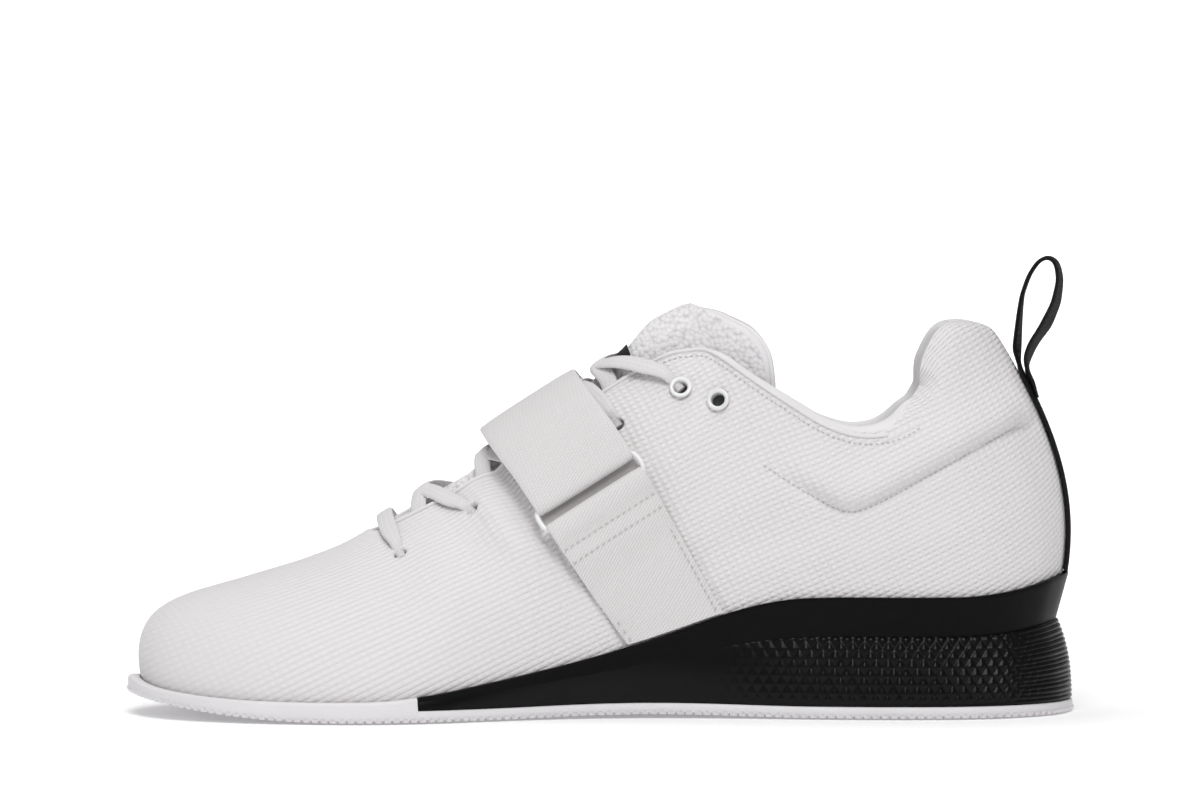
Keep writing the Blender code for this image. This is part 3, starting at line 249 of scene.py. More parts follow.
WALL, PAD_FROM, PAD_TO = 2.2, 0.45, 0.85
SWELL_PAD, SWELL = 5.4, 0.6
LASTING_MARGIN, LASTING_BOARD = 8.0, 1.4
TURN_STEPS, WALL_STEPS, INNER_STEP = 540, 84, 4
THROAT_STEPS_X = (-72.0, -71.9, -71.6, -71.1, -70.4)
ROLL_ANGLES = np.linspace(0, math.pi, 9)[1:-1]
EDGE_EASING, TOP_FROM_X, TOP_TO_X = 26, (24, 34), (58, 68)

steps = np.linspace(0, HEEL, TURN_STEPS // 2 + 1)
edge_x = rows_at(steps)[:, 3]
front = [float(np.interp(x, edge_x, steps)) for x in THROAT_STEPS_X]
medial = np.array(sorted([u for u in steps if min(abs(u - f) for f in front) > 0.03] + front))
turns = np.concatenate([medial, TURNS - medial[-2:0:-1]])
count, half = len(turns), len(medial) - 1
on_ridge = np.minimum(turns, TURNS - turns) <= front[0] + 1e-6
share = np.linspace(0, 1, WALL_STEPS + 1)
plain = wall_points(turns, rib_ends(turns)[:, None] * share)
eased_edge = plain[:, -1].copy()
for _ in range(EDGE_EASING):
    softer = (np.roll(eased_edge, 1, 0) + 2 * eased_edge + np.roll(eased_edge, -1, 0)) / 4
    at_top = (ramp(eased_edge[:, 0], *TOP_FROM_X) * (1 - ramp(eased_edge[:, 0], *TOP_TO_X)))[:, None]
    eased_edge = eased_edge + (softer - eased_edge) * at_top
plain += (eased_edge - plain[:, -1])[:, None] * ramp(share, 0.72, 1.0)[None, :, None]


def wall_normals(points):
    """Outward normals; on the closed ridge they lean only with its slope."""
    normals = grid_normals(points, True)
    ridge = points[: half + 1, -1]
    slope = np.gradient(ridge[:, 2]) / np.maximum(np.gradient(ridge[:, 0]), 1e-6)
    slope[0] = slope[1]
    lean = np.column_stack([-slope, np.zeros(len(ridge)), np.ones(len(ridge))])
    lean /= np.linalg.norm(lean, axis=1, keepdims=True)
    for k in np.nonzero(on_ridge)[0]:
        normals[k, -1] = lean[min(k, count - k)]
    return normals


plain_normals = wall_normals(plain)
bump_up = relief(plain)
bump_up[on_ridge] *= 1 - 0.9 * ramp(share, 0.7, 1.0)
outer = plain + plain_normals * bump_up[..., None]
pad = rows_at(turns)[:, [PAD]]
thick = WALL + (pad - WALL) * ramp(share, PAD_FROM, PAD_TO)
inner = (plain - plain_normals * thick[..., None])[:, ::INNER_STEP]
inner[:, 0, 2] = outer[:, 0, 2] + LASTING_BOARD
middle, reach = (outer[:, -1] + inner[:, -1]) / 2, (outer[:, -1] - inner[:, -1]) / 2
rise = np.cross(reach, np.roll(middle, -1, 0) - np.roll(middle, 1, 0))
rise *= np.sign(np.sum(rise * (outer[:, -1] - outer[:, -2]), axis=1, keepdims=True))
rise /= np.maximum(np.linalg.norm(rise, axis=1, keepdims=True), 1e-9)
roll_radius = np.where(on_ridge, 0.0, np.linalg.norm(reach, axis=1))[:, None]
roll_radius = roll_radius * (1 + SWELL * np.clip(pad - SWELL_PAD, 0, None))
rolls = [middle + reach * math.cos(a) + rise * roll_radius * math.sin(a) for a in ROLL_ANGLES]
under = outer[:, 0] + np.column_stack([-foot_normals(turns) * LASTING_MARGIN, np.zeros(count)])
under[:, 2] = feather_z(under[:, 0])
above = under + (0, 0, LASTING_BOARD)
rings = np.concatenate(
    [outer, np.stack(rolls, 1), inner[:, ::-1], above[:, None], under[:, None]], axis=1
)
around = rings.shape[1]
for _ in range(4):
    softer = (rings[:, WALL_STEPS - 4 : WALL_STEPS + 3] + rings[:, WALL_STEPS - 2 : WALL_STEPS + 5]) / 2
    keep = (0.5 + 0.5 * on_ridge)[:, None, None]
    core = rings[:, WALL_STEPS - 3 : WALL_STEPS + 4]
    rings[:, WALL_STEPS - 3 : WALL_STEPS + 4] = core * keep + softer * (1 - keep)

# The cloth's own coordinates: along the shoe, and up from the feather line over the instep.
level = WALL_STEPS // 3
mid_line = outer[: half + 1, level]
turned = ramp(mid_line[:, 0], 60, 95)
bend = np.hypot(np.gradient(mid_line[:, 0]), turned * np.gradient(mid_line[:, 1]))
extra = np.cumsum(bend - np.abs(np.gradient(mid_line[:, 0])))
in_order = np.argsort(mid_line[:, 0])
fine_x = np.linspace(-150, 150, 601)
TOE_SCALE = 0.87
stretch = TOE_SCALE + (1 - TOE_SCALE) * ramp(fine_x, -95, 25)
stretched_u = np.cumsum(stretch) * (fine_x[1] - fine_x[0])
rib_v = np.cumsum(np.linalg.norm(np.diff(outer, axis=1, prepend=outer[:, :1]), axis=2), axis=1)
LEVELS = np.arange(0, WALL_STEPS + 1, 4)
section_v = np.zeros((count, len(LEVELS)))
for ribs_here in (np.arange(half + 1), np.arange(half, count)):
    lines = [outer[ribs_here, j][np.argsort(outer[ribs_here, j, 0])] for j in LEVELS]
    for m, j in enumerate(LEVELS):
        x = outer[ribs_here, j, 0]
        below = lines[: m + 1]
        places = [[np.interp(x, line[:, 0], line[:, a]) for a in (1, 2)] for line in below]
        section_v[ribs_here, m] = np.linalg.norm(np.diff(places, axis=0), axis=1).sum(0)
section_v = np.array([np.interp(np.arange(WALL_STEPS + 1), LEVELS, row) for row in section_v])
blend = ramp(outer[..., 0], 40, 80)
cloth_v = (feather_z(outer[..., 0]) + section_v) * (1 - blend) + 1.03 * outer[..., 2] * blend
cloth_v *= np.interp(outer[..., 0], fine_x, stretch)
beyond = np.cumsum(np.linalg.norm(np.diff(rings[:, WALL_STEPS:], axis=1), axis=2), axis=1)
cloth = np.stack(
    [
        np.interp(rings[..., 0], fine_x, stretched_u)
        + np.interp(rings[..., 0], mid_line[in_order, 0], extra[in_order]),
        np.concatenate([cloth_v, cloth_v[:, -1:] + beyond], 1),
    ],
    -1,
)


def grid_quads(rows, columns, rows_close, columns_close):
    """Quads of a grid whose points are numbered row by row."""
    i, j = np.meshgrid(
        np.arange(rows if rows_close else rows - 1),
        np.arange(columns if columns_close else columns - 1),
        indexing="ij",
    )
    after, beside = (i + 1) % rows, (j + 1) % columns
    corners = (i * columns + j, i * columns + beside, after * columns + beside, after * columns + j)
    return np.stack(corners, -1)


def placed(name, data):
    """A new object in the scene."""
    obj = bpy.data.objects.new(name, data)
    bpy.context.scene.collection.objects.link(obj)
    return obj


def make_piece(name, points, faces, finishes, cloth_place=None, face_finish=None, sharp=50):
    """An object from points in millimetres, closed up, with its faces turned outwards."""
    mesh = bpy.data.meshes.new(name)
    mesh.from_pydata((np.asarray(points, float) * MM).tolist(), [], faces)
    for finish in finishes:
        mesh.materials.append(finish)
    if face_finish is not None:
        mesh.polygons.foreach_set("material_index", face_finish)
    if cloth_place is not None:
        layer = mesh.uv_layers.new(name="cloth")
        corners = np.zeros(len(mesh.loops), np.int32)
        mesh.loops.foreach_get("vertex_index", corners)
        layer.data.foreach_set("uv", (np.asarray(cloth_place)[corners] * MM).ravel())
    bm = bmesh.new()
    bm.from_mesh(mesh)
    bmesh.ops.remove_doubles(bm, verts=bm.verts, dist=0.01 * MM)
    bmesh.ops.dissolve_degenerate(bm, edges=bm.edges, dist=0.01 * MM)
    bmesh.ops.recalc_face_normals(bm, faces=bm.faces)
    bm.to_mesh(mesh)
    bm.free()
    mesh.shade_smooth()
    mesh.set_sharp_from_angle(angle=math.radians(sharp))
    return placed(name, mesh)


def feed(tree, node, values):
    """Sets a node's sockets, each to a value or to the output of another node."""
    for socket, value in values.items():
        if isinstance(value, bpy.types.NodeSocket):
            tree.links.new(value, node.inputs[socket])
        else:
            node.inputs[socket].default_value = value


def new_node(tree, kind, values, **settings):
    """A new node with its settings made and its sockets fed."""
    node = tree.nodes.new(kind)
    for setting, value in settings.items():
        setattr(node, setting, value)
    feed(tree, node, values)
    return node


class Finish:
    """A material: its shader, and short ways to add the nodes of a pattern."""

    def __init__(self, name, colour, roughness, **shader_values):
        self.material = bpy.data.materials.new(name)
        self.material.use_nodes = True
        self.tree = self.material.node_tree
        self.shader = self.tree.nodes["Principled BSDF"]
        self.colour = colour
        values = {socket.replace("_", " "): value for socket, value in shader_values.items()}
        feed(self.tree, self.shader, {"Base Color": (*colour, 1), "Roughness": roughness, **values})
        self.where = self.tree.nodes.new("ShaderNodeTexCoord").outputs

    def place(self, kind="Object"):
        """The three coordinates of a point, in metres."""
        return new_node(self.tree, "ShaderNodeSeparateXYZ", {0: self.where[kind]}).outputs

    def sum(self, operation, *values):
        """One step of arithmetic."""
        sockets = dict(enumerate(values))
        return new_node(self.tree, "ShaderNodeMath", sockets, operation=operation).outputs[0]

    def noise(self, size, detail=2.0):
        """Soft noise between 0 and 1 with features of about this size in millimetres."""
        values = {"Vector": self.where["Object"], "Scale": 1 / (size * MM), "Detail": detail}
        return new_node(self.tree, "ShaderNodeTexNoise", values).outputs["Fac"]

    def cells(self, size):
        """Distance to the nearest of scattered points, about this far apart."""
        values = {"Vector": self.where["Object"], "Scale": 1 / (size * MM)}
        return new_node(self.tree, "ShaderNodeTexVoronoi", values).outputs["Distance"]

    def step(self, value, start, end):
        """A soft step from 0 at start to 1 at end."""
        values = {"Value": value, "From Min": start, "From Max": end}
        node = new_node(self.tree, "ShaderNodeMapRange", values, interpolation_type="SMOOTHSTEP")
        return node.outputs["Result"]

    def tint(self, amount, low, high):
        """Colour runs from low to high shares of the base colour."""
        dark = (*(c * low for c in self.colour), 1)
        light = (*(min(c * high, 1) for c in self.colour), 1)
        values = {"Factor": amount, "A": dark, "B": light}
        node = new_node(self.tree, "ShaderNodeMix", values, data_type="RGBA")
        feed(self.tree, self.shader, {"Base Color": node.outputs["Result"]})

    def gloss(self, amount, low, high):
        """Roughness runs from low to high."""
        values = {"Value": amount, "To Min": low, "To Max": high}
        node = new_node(self.tree, "ShaderNodeMapRange", values)
        feed(self.tree, self.shader, {"Roughness": node.outputs["Result"]})

    def bump(self, height, distance, strength=1.0):
        """Relief from a height between 0 and 1, over a distance in millimetres."""
        values = {"Height": height, "Distance": distance * MM, "Strength": strength}
        node = new_node(self.tree, "ShaderNodeBump", values)
        before = self.shader.inputs["Normal"]
        if before.is_linked:
            feed(self.tree, node, {"Normal": before.links[0].from_socket})
        feed(self.tree, self.shader, {"Normal": node.outputs["Normal"]})

    def weave(self, rib, bead, angle, beading=0.35, sharpness=0.6, offset=math.pi):
        """Rows of beads at an angle in degrees: rib apart, bead along, offset from row to row."""
        u, v, _ = self.place("UV")
        c, s = math.cos(math.radians(angle)), math.sin(math.radians(angle))
        across = self.sum("SUBTRACT", self.sum("MULTIPLY", v, c), self.sum("MULTIPLY", u, s))
        along = self.sum("ADD", self.sum("MULTIPLY", u, c), self.sum("MULTIPLY", v, s))
        row = self.sum("MULTIPLY", across, 1 / (rib * MM))
        shift = self.sum("MULTIPLY", self.sum("FLOOR", row), offset)
        ridge = self.sum("ABSOLUTE", self.sum("SINE", self.sum("MULTIPLY", row, math.pi)))
        ridge = self.sum("POWER", ridge, sharpness)
        knot = self.sum("MULTIPLY", along, 2 * math.pi / (bead * MM))
        knot = self.sum("SINE", self.sum("ADD", knot, shift))
        part = self.sum("MULTIPLY", beading, 0.5)
        knot = self.sum("ADD", self.sum("MULTIPLY", knot, part), self.sum("SUBTRACT", 1.0, part))
        return self.sum("MULTIPLY", ridge, knot)


CLOTH_WHITE = (0.765, 0.742, 0.747)
weave = Finish("coarse_ribbed_weave", CLOTH_WHITE, 0.86, Sheen_Weight=0.15, Sheen_Roughness=0.6)
along_shoe = weave.place()[0]
to_quarter = weave.sum("MULTIPLY", weave.step(along_shoe, -60 * MM, 20 * MM), 0.3)
to_toe = weave.step(along_shoe, -85 * MM, -120 * MM)
beading = weave.sum("ADD", weave.sum("ADD", to_quarter, weave.sum("MULTIPLY", to_toe, 0.2)), 0.4)
cloth_rows = weave.weave(rib=1.68, bead=2.3, angle=27, beading=beading, sharpness=0.75, offset=0)
worn = weave.sum("ADD", weave.sum("MULTIPLY", weave.noise(6.0, 3.0), 0.6), 0.7)
full = weave.sum("ADD", weave.sum("MULTIPLY", weave.step(along_shoe, -60 * MM, 20 * MM), 0.25), 0.75)
full = weave.sum("SUBTRACT", full, weave.sum("MULTIPLY", to_toe, 0.35))
cloth_rows = weave.sum("MULTIPLY", weave.sum("MULTIPLY", cloth_rows, worn), full)
weave.tint(cloth_rows, 0.915, 1.035)
weave.bump(cloth_rows, 0.42, 0.85)
weave.bump(weave.noise(0.35, 2.0), 0.08, 0.6)

lining = Finish("brushed_lining", (0.76, 0.745, 0.755), 0.9, Sheen_Weight=0.3, Sheen_Roughness=0.5)
lining.tint(lining.noise(9.0, 3.0), 0.95, 1.02)
lining.bump(lining.cells(0.8), 0.08, 0.6)
lining.bump(lining.noise(0.5, 2.0), 0.06, 0.5)

board = Finish("lasting_board", (0.62, 0.60, 0.56), 0.9)
board.tint(board.noise(1.2, 3.0), 0.85, 1.05)
board.bump(board.noise(0.8, 3.0), 0.1, 0.5)

quads = grid_quads(count, around, True, True)
closed = on_ridge & np.roll(on_ridge, -1)
kept = np.ones(quads.shape[:2], bool)
kept[np.ix_(closed, np.arange(around))] &= ~(
    (np.arange(around) >= WALL_STEPS) & (np.arange(around) < WALL_STEPS + len(rolls) + 1)
)
ring_finish = np.full(around, 1)
ring_finish[: WALL_STEPS + 1] = 0
ring_finish[-2:] = 2
finish_of = np.tile(ring_finish, (count, 1))
over_roll = np.round(4 * ramp(outer[:, -1, 0], 84, 110)).astype(int)[:, None]
finish_of[(np.arange(around) >= WALL_STEPS) & (np.arange(around) <= WALL_STEPS + over_roll)] = 0
upper = make_piece(
    "woven_upper",
    rings.reshape(-1, 3),
    quads[kept].tolist(),
    [weave.material, lining.material, board.material],
    cloth.reshape(-1, 2),
    finish_of[kept],
    sharp=60,
)

# Lace holes: six on each side, all punched through cloth and lining. The lower four are left plain
# and the upper two are a little wider, to take eyelets.
FINE_TURNS = np.linspace(3, HEEL, 441)
FINE_T = np.linspace(0, 1, 81)


def fine_side(side):
    """Points and outward normals of one side, with the ridge drawn on over the throat."""
    at = FINE_TURNS if side < 0 else TURNS - FINE_TURNS
    points = wall_points(at, np.tile(FINE_T, (len(at), 1)))
    return points, -side * grid_normals(points, False)


FINE = {side: fine_side(side) for side in (-1, 1)}


def surface_point(side, x, level, axis):
    """The point and normal at x where y (axis 1) or z (axis 2) is at the given level."""
    points, normals = FINE[side]
    found = []
    for rib, out in zip(points, normals):
        value = side * -rib[:, 1] if axis == 1 else rib[:, 2]
        start = len(value) // 4 if axis == 1 else 0
        goal = -abs(level) if axis == 1 else level
        columns = np.hstack([rib, out])[start:].T
        found.append([np.interp(goal, value[start:], column) for column in columns])
    found = np.array(found)
    order = np.argsort(found[:, 0])
    place = np.array([np.interp(x, found[order, 0], column) for column in found[order].T])
    return place[:3], place[3:] / np.linalg.norm(place[3:])


EYELETS = ((-61.4, 50.2), (-39.2, 63.2), (-17.3, 76.6), (4.9, 89.4), (24.4, 100.4), (35.8, 96.9))
PLAIN_HOLES, PUNCH_RADIUS, GROMMET_HOLE_RADIUS = 4, 2.2, 2.7
PUNCH_SIDES, PUNCH_ENDS = 24, (-7, 4)


def frame_round(axis):
    """Two directions square to an axis and to each other."""
    one = np.cross(axis, (0, 0, 1.0))
    one /= np.linalg.norm(one)
    return one, np.cross(axis, one)


def circle(centre, axis, radius, sides):
    """Points round an axis."""
    one, two = frame_round(axis)
    angles = np.arange(sides) * 2 * math.pi / sides
    return centre + radius * (np.outer(np.cos(angles), one) + np.outer(np.sin(angles), two))


punch_points, punch_faces = [], []
hole_places = {}
for side in (-1, 1):
    for number, (x, z) in enumerate(EYELETS):
        place, out = surface_point(side, x, z, 2)
        hole_places[side, number] = place, out
        radius = PUNCH_RADIUS if number < PLAIN_HOLES else GROMMET_HOLE_RADIUS
        base = sum(len(p) for p in punch_points)
        for reach_out in PUNCH_ENDS:
            punch_points.append(circle(place + out * reach_out, out, radius, PUNCH_SIDES))
        punch_faces += (grid_quads(2, PUNCH_SIDES, False, True)[0] + base).tolist()
        punch_faces += [range(base, base + PUNCH_SIDES), range(base + PUNCH_SIDES, base + 2 * PUNCH_SIDES)]
punch = make_piece("punch", np.concatenate(punch_points), punch_faces, [lining.material])


def as_made(obj):
    """The mesh that an object's modifiers make, with the modifiers then removed."""
    graph = bpy.context.evaluated_depsgraph_get()
    graph.update()
    mesh = bpy.data.meshes.new_from_object(obj.evaluated_get(graph))
    obj.modifiers.clear()
    obj.data = mesh
    return obj


cut = upper.modifiers.new("holes", "BOOLEAN")
cut.operation, cut.object, cut.solver, cut.material_mode = "DIFFERENCE", punch, "EXACT", "TRANSFER"
as_made(upper)
bpy.data.objects.remove(punch)
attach(upper, "root")
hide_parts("upper")

# Binding: a thin rolled strip of the lining cloth that covers the raw edge of the eyestays and
# ends in the seam where the collar's weave meets its lining.


def socket_named(tree, name):
    """The identifier by which a modifier knows one input of its tree."""
    return next(item.identifier for item in tree.interface.items_tree if item.name == name)


def node_group(name, *sizes):
    """A new tree that takes a geometry, sizes by name and a finish, and gives a geometry."""
    tree = bpy.data.node_groups.new(name, "GeometryNodeTree")
    tree.interface.new_socket("Geometry", in_out="INPUT", socket_type="NodeSocketGeometry")
    for label in sizes:
        tree.interface.new_socket(label, in_out="INPUT", socket_type="NodeSocketFloat")
    tree.interface.new_socket("Finish", in_out="INPUT", socket_type="NodeSocketMaterial")
    tree.interface.new_socket("Geometry", in_out="OUTPUT", socket_type="NodeSocketGeometry")
    return tree, tree.nodes.new("NodeGroupInput").outputs


def finished(tree, shape, finish, smooth=True):
    """The end of a tree: real faces, smooth or flat, with their finish."""
    real = new_node(tree, "GeometryNodeRealizeInstances", {"Geometry": shape}).outputs[0]
    shade = {0: real, "Shade Smooth": smooth}
    shaded = new_node(tree, "GeometryNodeSetShadeSmooth", shade).outputs[0]
    made = new_node(tree, "GeometryNodeSetMaterial", {"Geometry": shaded, "Material": finish})
    new_node(tree, "NodeGroupOutput", {"Geometry": made.outputs["Geometry"]})
    return tree


def piping_tree():
    """A round cord along a line of points."""
    tree, given = node_group("piping", "Radius")
    line = new_node(tree, "GeometryNodeMeshToCurve", {"Mesh": given["Geometry"]})
    circle_values = {"Resolution": 12, "Radius": given["Radius"]}
    profile = new_node(tree, "GeometryNodeCurvePrimitiveCircle", circle_values)
    cord_values = {
        "Curve": line.outputs["Curve"],
        "Profile Curve": profile.outputs["Curve"],
        "Fill Caps": True,
    }
    cord = new_node(tree, "GeometryNodeCurveToMesh", cord_values)
    return finished(tree, cord.outputs["Mesh"], given["Finish"])


def line_object(name, lines):
    """Lines of points, in millimetres, as the loose edges of one mesh."""
    points = np.concatenate([np.asarray(line, float) for line in lines])
    edges, start = [], 0
    for line in lines:
        edges += [(start + k, start + k + 1) for k in range(len(line) - 1)]
        start += len(line)
    mesh = bpy.data.meshes.new(name)
    mesh.from_pydata((points * MM).tolist(), edges, [])
    return placed(name, mesh)


def grown(obj, tree, values):
    """Runs a tree on an object and keeps the mesh that it makes."""
    modifier = obj.modifiers.new(tree.name, "NODES")
    modifier.node_group = tree
    for label, value in values.items():
        modifier[socket_named(tree, label)] = value
    return as_made(obj)


PIPING = piping_tree()
BINDING_RADIUS, BINDING_FROM_X, BINDING_TO_X = 0.62, -66.0, 88.0
edge_line = outer[:, -1] + rise * BINDING_RADIUS * 0.5 + reach / np.maximum(
    np.linalg.norm(reach, axis=1, keepdims=True), 1e-9
) * 0.1
shown = (edge_line[:, 0] > BINDING_FROM_X) & (edge_line[:, 0] < BINDING_TO_X)
first_side = np.arange(count) <= half
binding = line_object("edge_binding", [edge_line[shown & first_side], edge_line[shown & ~first_side]])
grown(binding, PIPING, {"Radius": BINDING_RADIUS * MM, "Finish": lining.material})
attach(binding, "root")

# Seams: rows of grey thread that hold the collar's foam in its groove and the topline to its lining.
# Each row is one short thread after another along a line on the surface.


def laid(tree, spots, shape, sizes):
    """Copies of a shape on points, scaled by three sizes."""
    scale = new_node(tree, "ShaderNodeCombineXYZ", dict(zip("XYZ", sizes)))
    values = {
        "Points": spots.outputs["Points"],
        "Instance": shape.outputs["Mesh"],
        "Scale": scale.outputs["Vector"],
    }
    return new_node(tree, "GeometryNodeInstanceOnPoints", values)


def stitch_tree():
    """Short threads along a line, one every pitch."""
    tree, given = node_group("stitch_row", "Pitch", "Length", "Thread")
    line = new_node(tree, "GeometryNodeMeshToCurve", {"Mesh": given["Geometry"]})
    way = {"Curve": line.outputs["Curve"], "Length": given["Pitch"]}
    spots = new_node(tree, "GeometryNodeCurveToPoints", way, mode="LENGTH")
    along = {"Vector": spots.outputs["Tangent"]}
    turn = new_node(tree, "FunctionNodeAlignRotationToVector", along, axis="Z")
    bead = new_node(tree, "GeometryNodeMeshUVSphere", {"Segments": 6, "Rings": 4, "Radius": 0.5})
    lay = laid(tree, spots, bead, (given["Thread"], given["Thread"], given["Length"]))
    feed(tree, lay, {"Rotation": turn.outputs["Rotation"]})
    return finished(tree, lay.outputs["Instances"], given["Finish"])


STITCHES = stitch_tree()
thread = Finish("grey_thread", (0.52, 0.515, 0.51), 0.6, Sheen_Weight=0.2)
thread.tint(thread.noise(0.6, 2.0), 0.9, 1.05)
thread.bump(thread.noise(0.2, 2.0), 0.05, 0.5)


def sewn(name, lines, pitch, length, finish, thread_width=0.55):
    """A piece made of stitches along lines."""
    piece = line_object(name, lines)
    values = {"Pitch": pitch * MM, "Length": length * MM, "Thread": thread_width * MM}
    grown(piece, STITCHES, {**values, "Finish": finish.material})
    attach(piece, "root")
    return piece


def side_line(side, places, lift):
    """A line on one side through (x, z) places, stood off by lift, with a point every 2 mm."""
    places = np.array(places, float)
    length = np.concatenate([[0], np.cumsum(np.hypot(*np.diff(places, axis=0).T))])
    at = np.linspace(0, length[-1], int(length[-1] / 2) + 2)
    line = []
    for x, z in zip(np.interp(at, length, places[:, 0]), np.interp(at, length, places[:, 1])):
        place, out = surface_point(side, x, z, 2)
        line.append(place + out * (lift + relief(place[None])[0]))
    return line


groove_way = [tuple(p) for p in GROOVE[1:-2]] + [(118, 84), (126, 87.8)]
groove_lines = [side_line(side, groove_way, 0.1) for side in (-1, 1)]
sewn("collar_seam", groove_lines, 1.7, 1.2, thread, 0.5)
SEAM_BELOW_EDGE = 2.3
outer_normals = grid_normals(outer, True)
top_seam = []
for points, out, length in zip(outer, outer_normals, rib_v):
    at = length[-1] - SEAM_BELOW_EDGE
    top_seam.append([np.interp(at, length, points[:, a] + 0.12 * out[:, a]) for a in range(3)])
top_seam = np.array(top_seam)
shown = (edge_line[:, 0] > 8) & (top_seam[:, 0] < 97)
top_lines = [top_seam[shown & first_side], top_seam[shown & ~first_side]]
sewn("topline_seam", top_lines, 1.7, 1.1, thread, 0.42)

# Tongue: padded spacer mesh with a bound edge and a plain black film label on its front. It follows
# the inside of the instep, and its wings stand free above the eyestays.

TongueEdge = namedtuple("TongueEdge", "across x y z")
TONGUE_NECK = [
    TongueEdge(0.0, 24.8, 0.0, 125.2),
    TongueEdge(0.3, 26.2, 5.8, 121.6),
    TongueEdge(0.55, 29.5, 8.8, 115.4),
    TongueEdge(0.75, 32.5, 12.4, 106.8),
    TongueEdge(0.9, 34.5, 14.6, 103.2),
    TongueEdge(1.0, 35.5, 16.0, 99.6),
]
TONGUE_TOP = [
    TongueEdge(0.0, 28.5, 0.0, 126.2),
    TongueEdge(0.3, 32.0, 7.0, 124.8),
    TongueEdge(0.55, 39.0, 12.3, 121.2),
    TongueEdge(0.75, 46.2, 15.6, 117.2),
    TongueEdge(0.9, 51.0, 17.0, 110.6),
    TongueEdge(1.0, 52.6, 17.6, 100.5),
]
TongueRow = namedtuple("TongueRow", "x half rise thick")
TONGUE_ROWS = [
    TongueRow(-88.0, 12.0, 0.0, 1.6),
    TongueRow(-78.0, 15.0, 0.0, 2.2),
    TongueRow(-66.0, 17.5, 0.6, 2.6),
    TongueRow(-54.0, 19.0, 1.8, 3.0),
    TongueRow(-40.0, 20.0, 2.0, 3.2),
    TongueRow(-26.0, 20.5, 2.0, 3.4),
    TongueRow(-12.0, 20.5, 2.2, 3.8),
    TongueRow(0.0, 20.0, 4.0, 4.2),
    TongueRow(9.0, 19.0, 6.2, 4.6),
    TongueRow(18.0, 18.0, 10.2, 5.0),
]
TONGUE_TOP_THICK, TONGUE_CLEAR = 5.4, 1.3
TONGUE_ACROSS = np.array((-1.0, -0.9, -0.75, -0.55, -0.3, 0.0, 0.3, 0.55, 0.75, 0.9, 1.0))


def tongue_half(x):
    """Half the tongue's width at x."""
    return np.interp(x, [row.x for row in TONGUE_ROWS], [row.half for row in TONGUE_ROWS])


def tongue_section(x, across):
    """Outer points of the tongue at x, from the ribs of the upper."""
    half_width = tongue_half(x)
    rise_here = np.interp(x, [row.x for row in TONGUE_ROWS], [row.rise for row in TONGUE_ROWS])
    half_gap = max(float(throat_half(x)) - 3.0, 0.1)
    points = []
    for y in across * half_width:
        place, out = surface_point(-1 if y <= 0 else 1, x, y, 1)
        if y == 0:
            out = np.array([out[0], 0, out[2]]) / math.hypot(out[0], out[2])
            place[1] = 0.0
        inside = np.clip(1 - (y / half_gap) ** 2, 0, 1)
        points.append(place - out * (WALL + TONGUE_CLEAR - rise_here * inside))
    return np.array(points)


def tongue_edge(table):
    """One of the tongue's two free edges, from wing to wing."""
    a = np.abs(TONGUE_ACROSS)
    share_of = [e.across for e in table]
    x, y, z = (np.interp(a, share_of, [getattr(e, axis) for e in table]) for axis in "xyz")
    return np.column_stack([x, np.sign(TONGUE_ACROSS) * y, z])


def eased(values, times):
    """A smooth curve through rows of values, with this many steps between them."""
    values = np.asarray(values, float)
    position = np.linspace(0, len(values) - 1, (len(values) - 1) * times + 1)
    low = np.minimum(position.astype(int), len(values) - 2)
    t = (position - low).reshape(-1, *[1] * (values.ndim - 1))
    a, b, c, d = (values[np.clip(low + k, 0, len(values) - 1)] for k in (-1, 0, 1, 2))
    return b + 0.5 * t * (c - a + t * (2 * a - 5 * b + 4 * c - d + t * (3 * (b - c) + d - a)))


neck, top = tongue_edge(TONGUE_NECK), tongue_edge(TONGUE_TOP)
tongue_rows = [tongue_section(row.x, TONGUE_ACROSS) for row in TONGUE_ROWS]
tongue_rows += [neck, (neck + top) / 2, top]
tongue_thick = np.array([row.thick for row in TONGUE_ROWS] + [TONGUE_TOP_THICK] * 3)
tongue_grid = eased(np.swapaxes(eased(np.array(tongue_rows), 7), 0, 1), 7).swapaxes(0, 1)
tongue_deep = eased(tongue_thick, 7)
across_share = eased(TONGUE_ACROSS, 7)
tongue_out = grid_normals(tongue_grid, False)
tongue_out *= np.sign(tongue_out[..., 2:].mean())
length_share = np.linspace(0, 1, len(tongue_grid))
crown = np.sqrt(np.clip(1 - np.abs(across_share) ** 5, 0, 1))[None] * np.sqrt(
    np.clip(1 - length_share**40, 0, 1)
)[:, None]
deep = tongue_deep[:, None] * (1 - 0.55 * np.abs(across_share) ** 3)[None]
sponge = 0.12 * np.sin(tongue_grid[..., 0] * 2.1) * np.sin(tongue_grid[..., 1] * 2.3 + tongue_grid[..., 2])
core = tongue_grid - tongue_out * (deep / 2)[..., None]
front_face = core + tongue_out * (deep / 2 * (0.18 + 0.82 * crown) + sponge * crown)[..., None]
back_face = core - tongue_out * (deep / 2 * (0.18 + 0.82 * crown))[..., None]


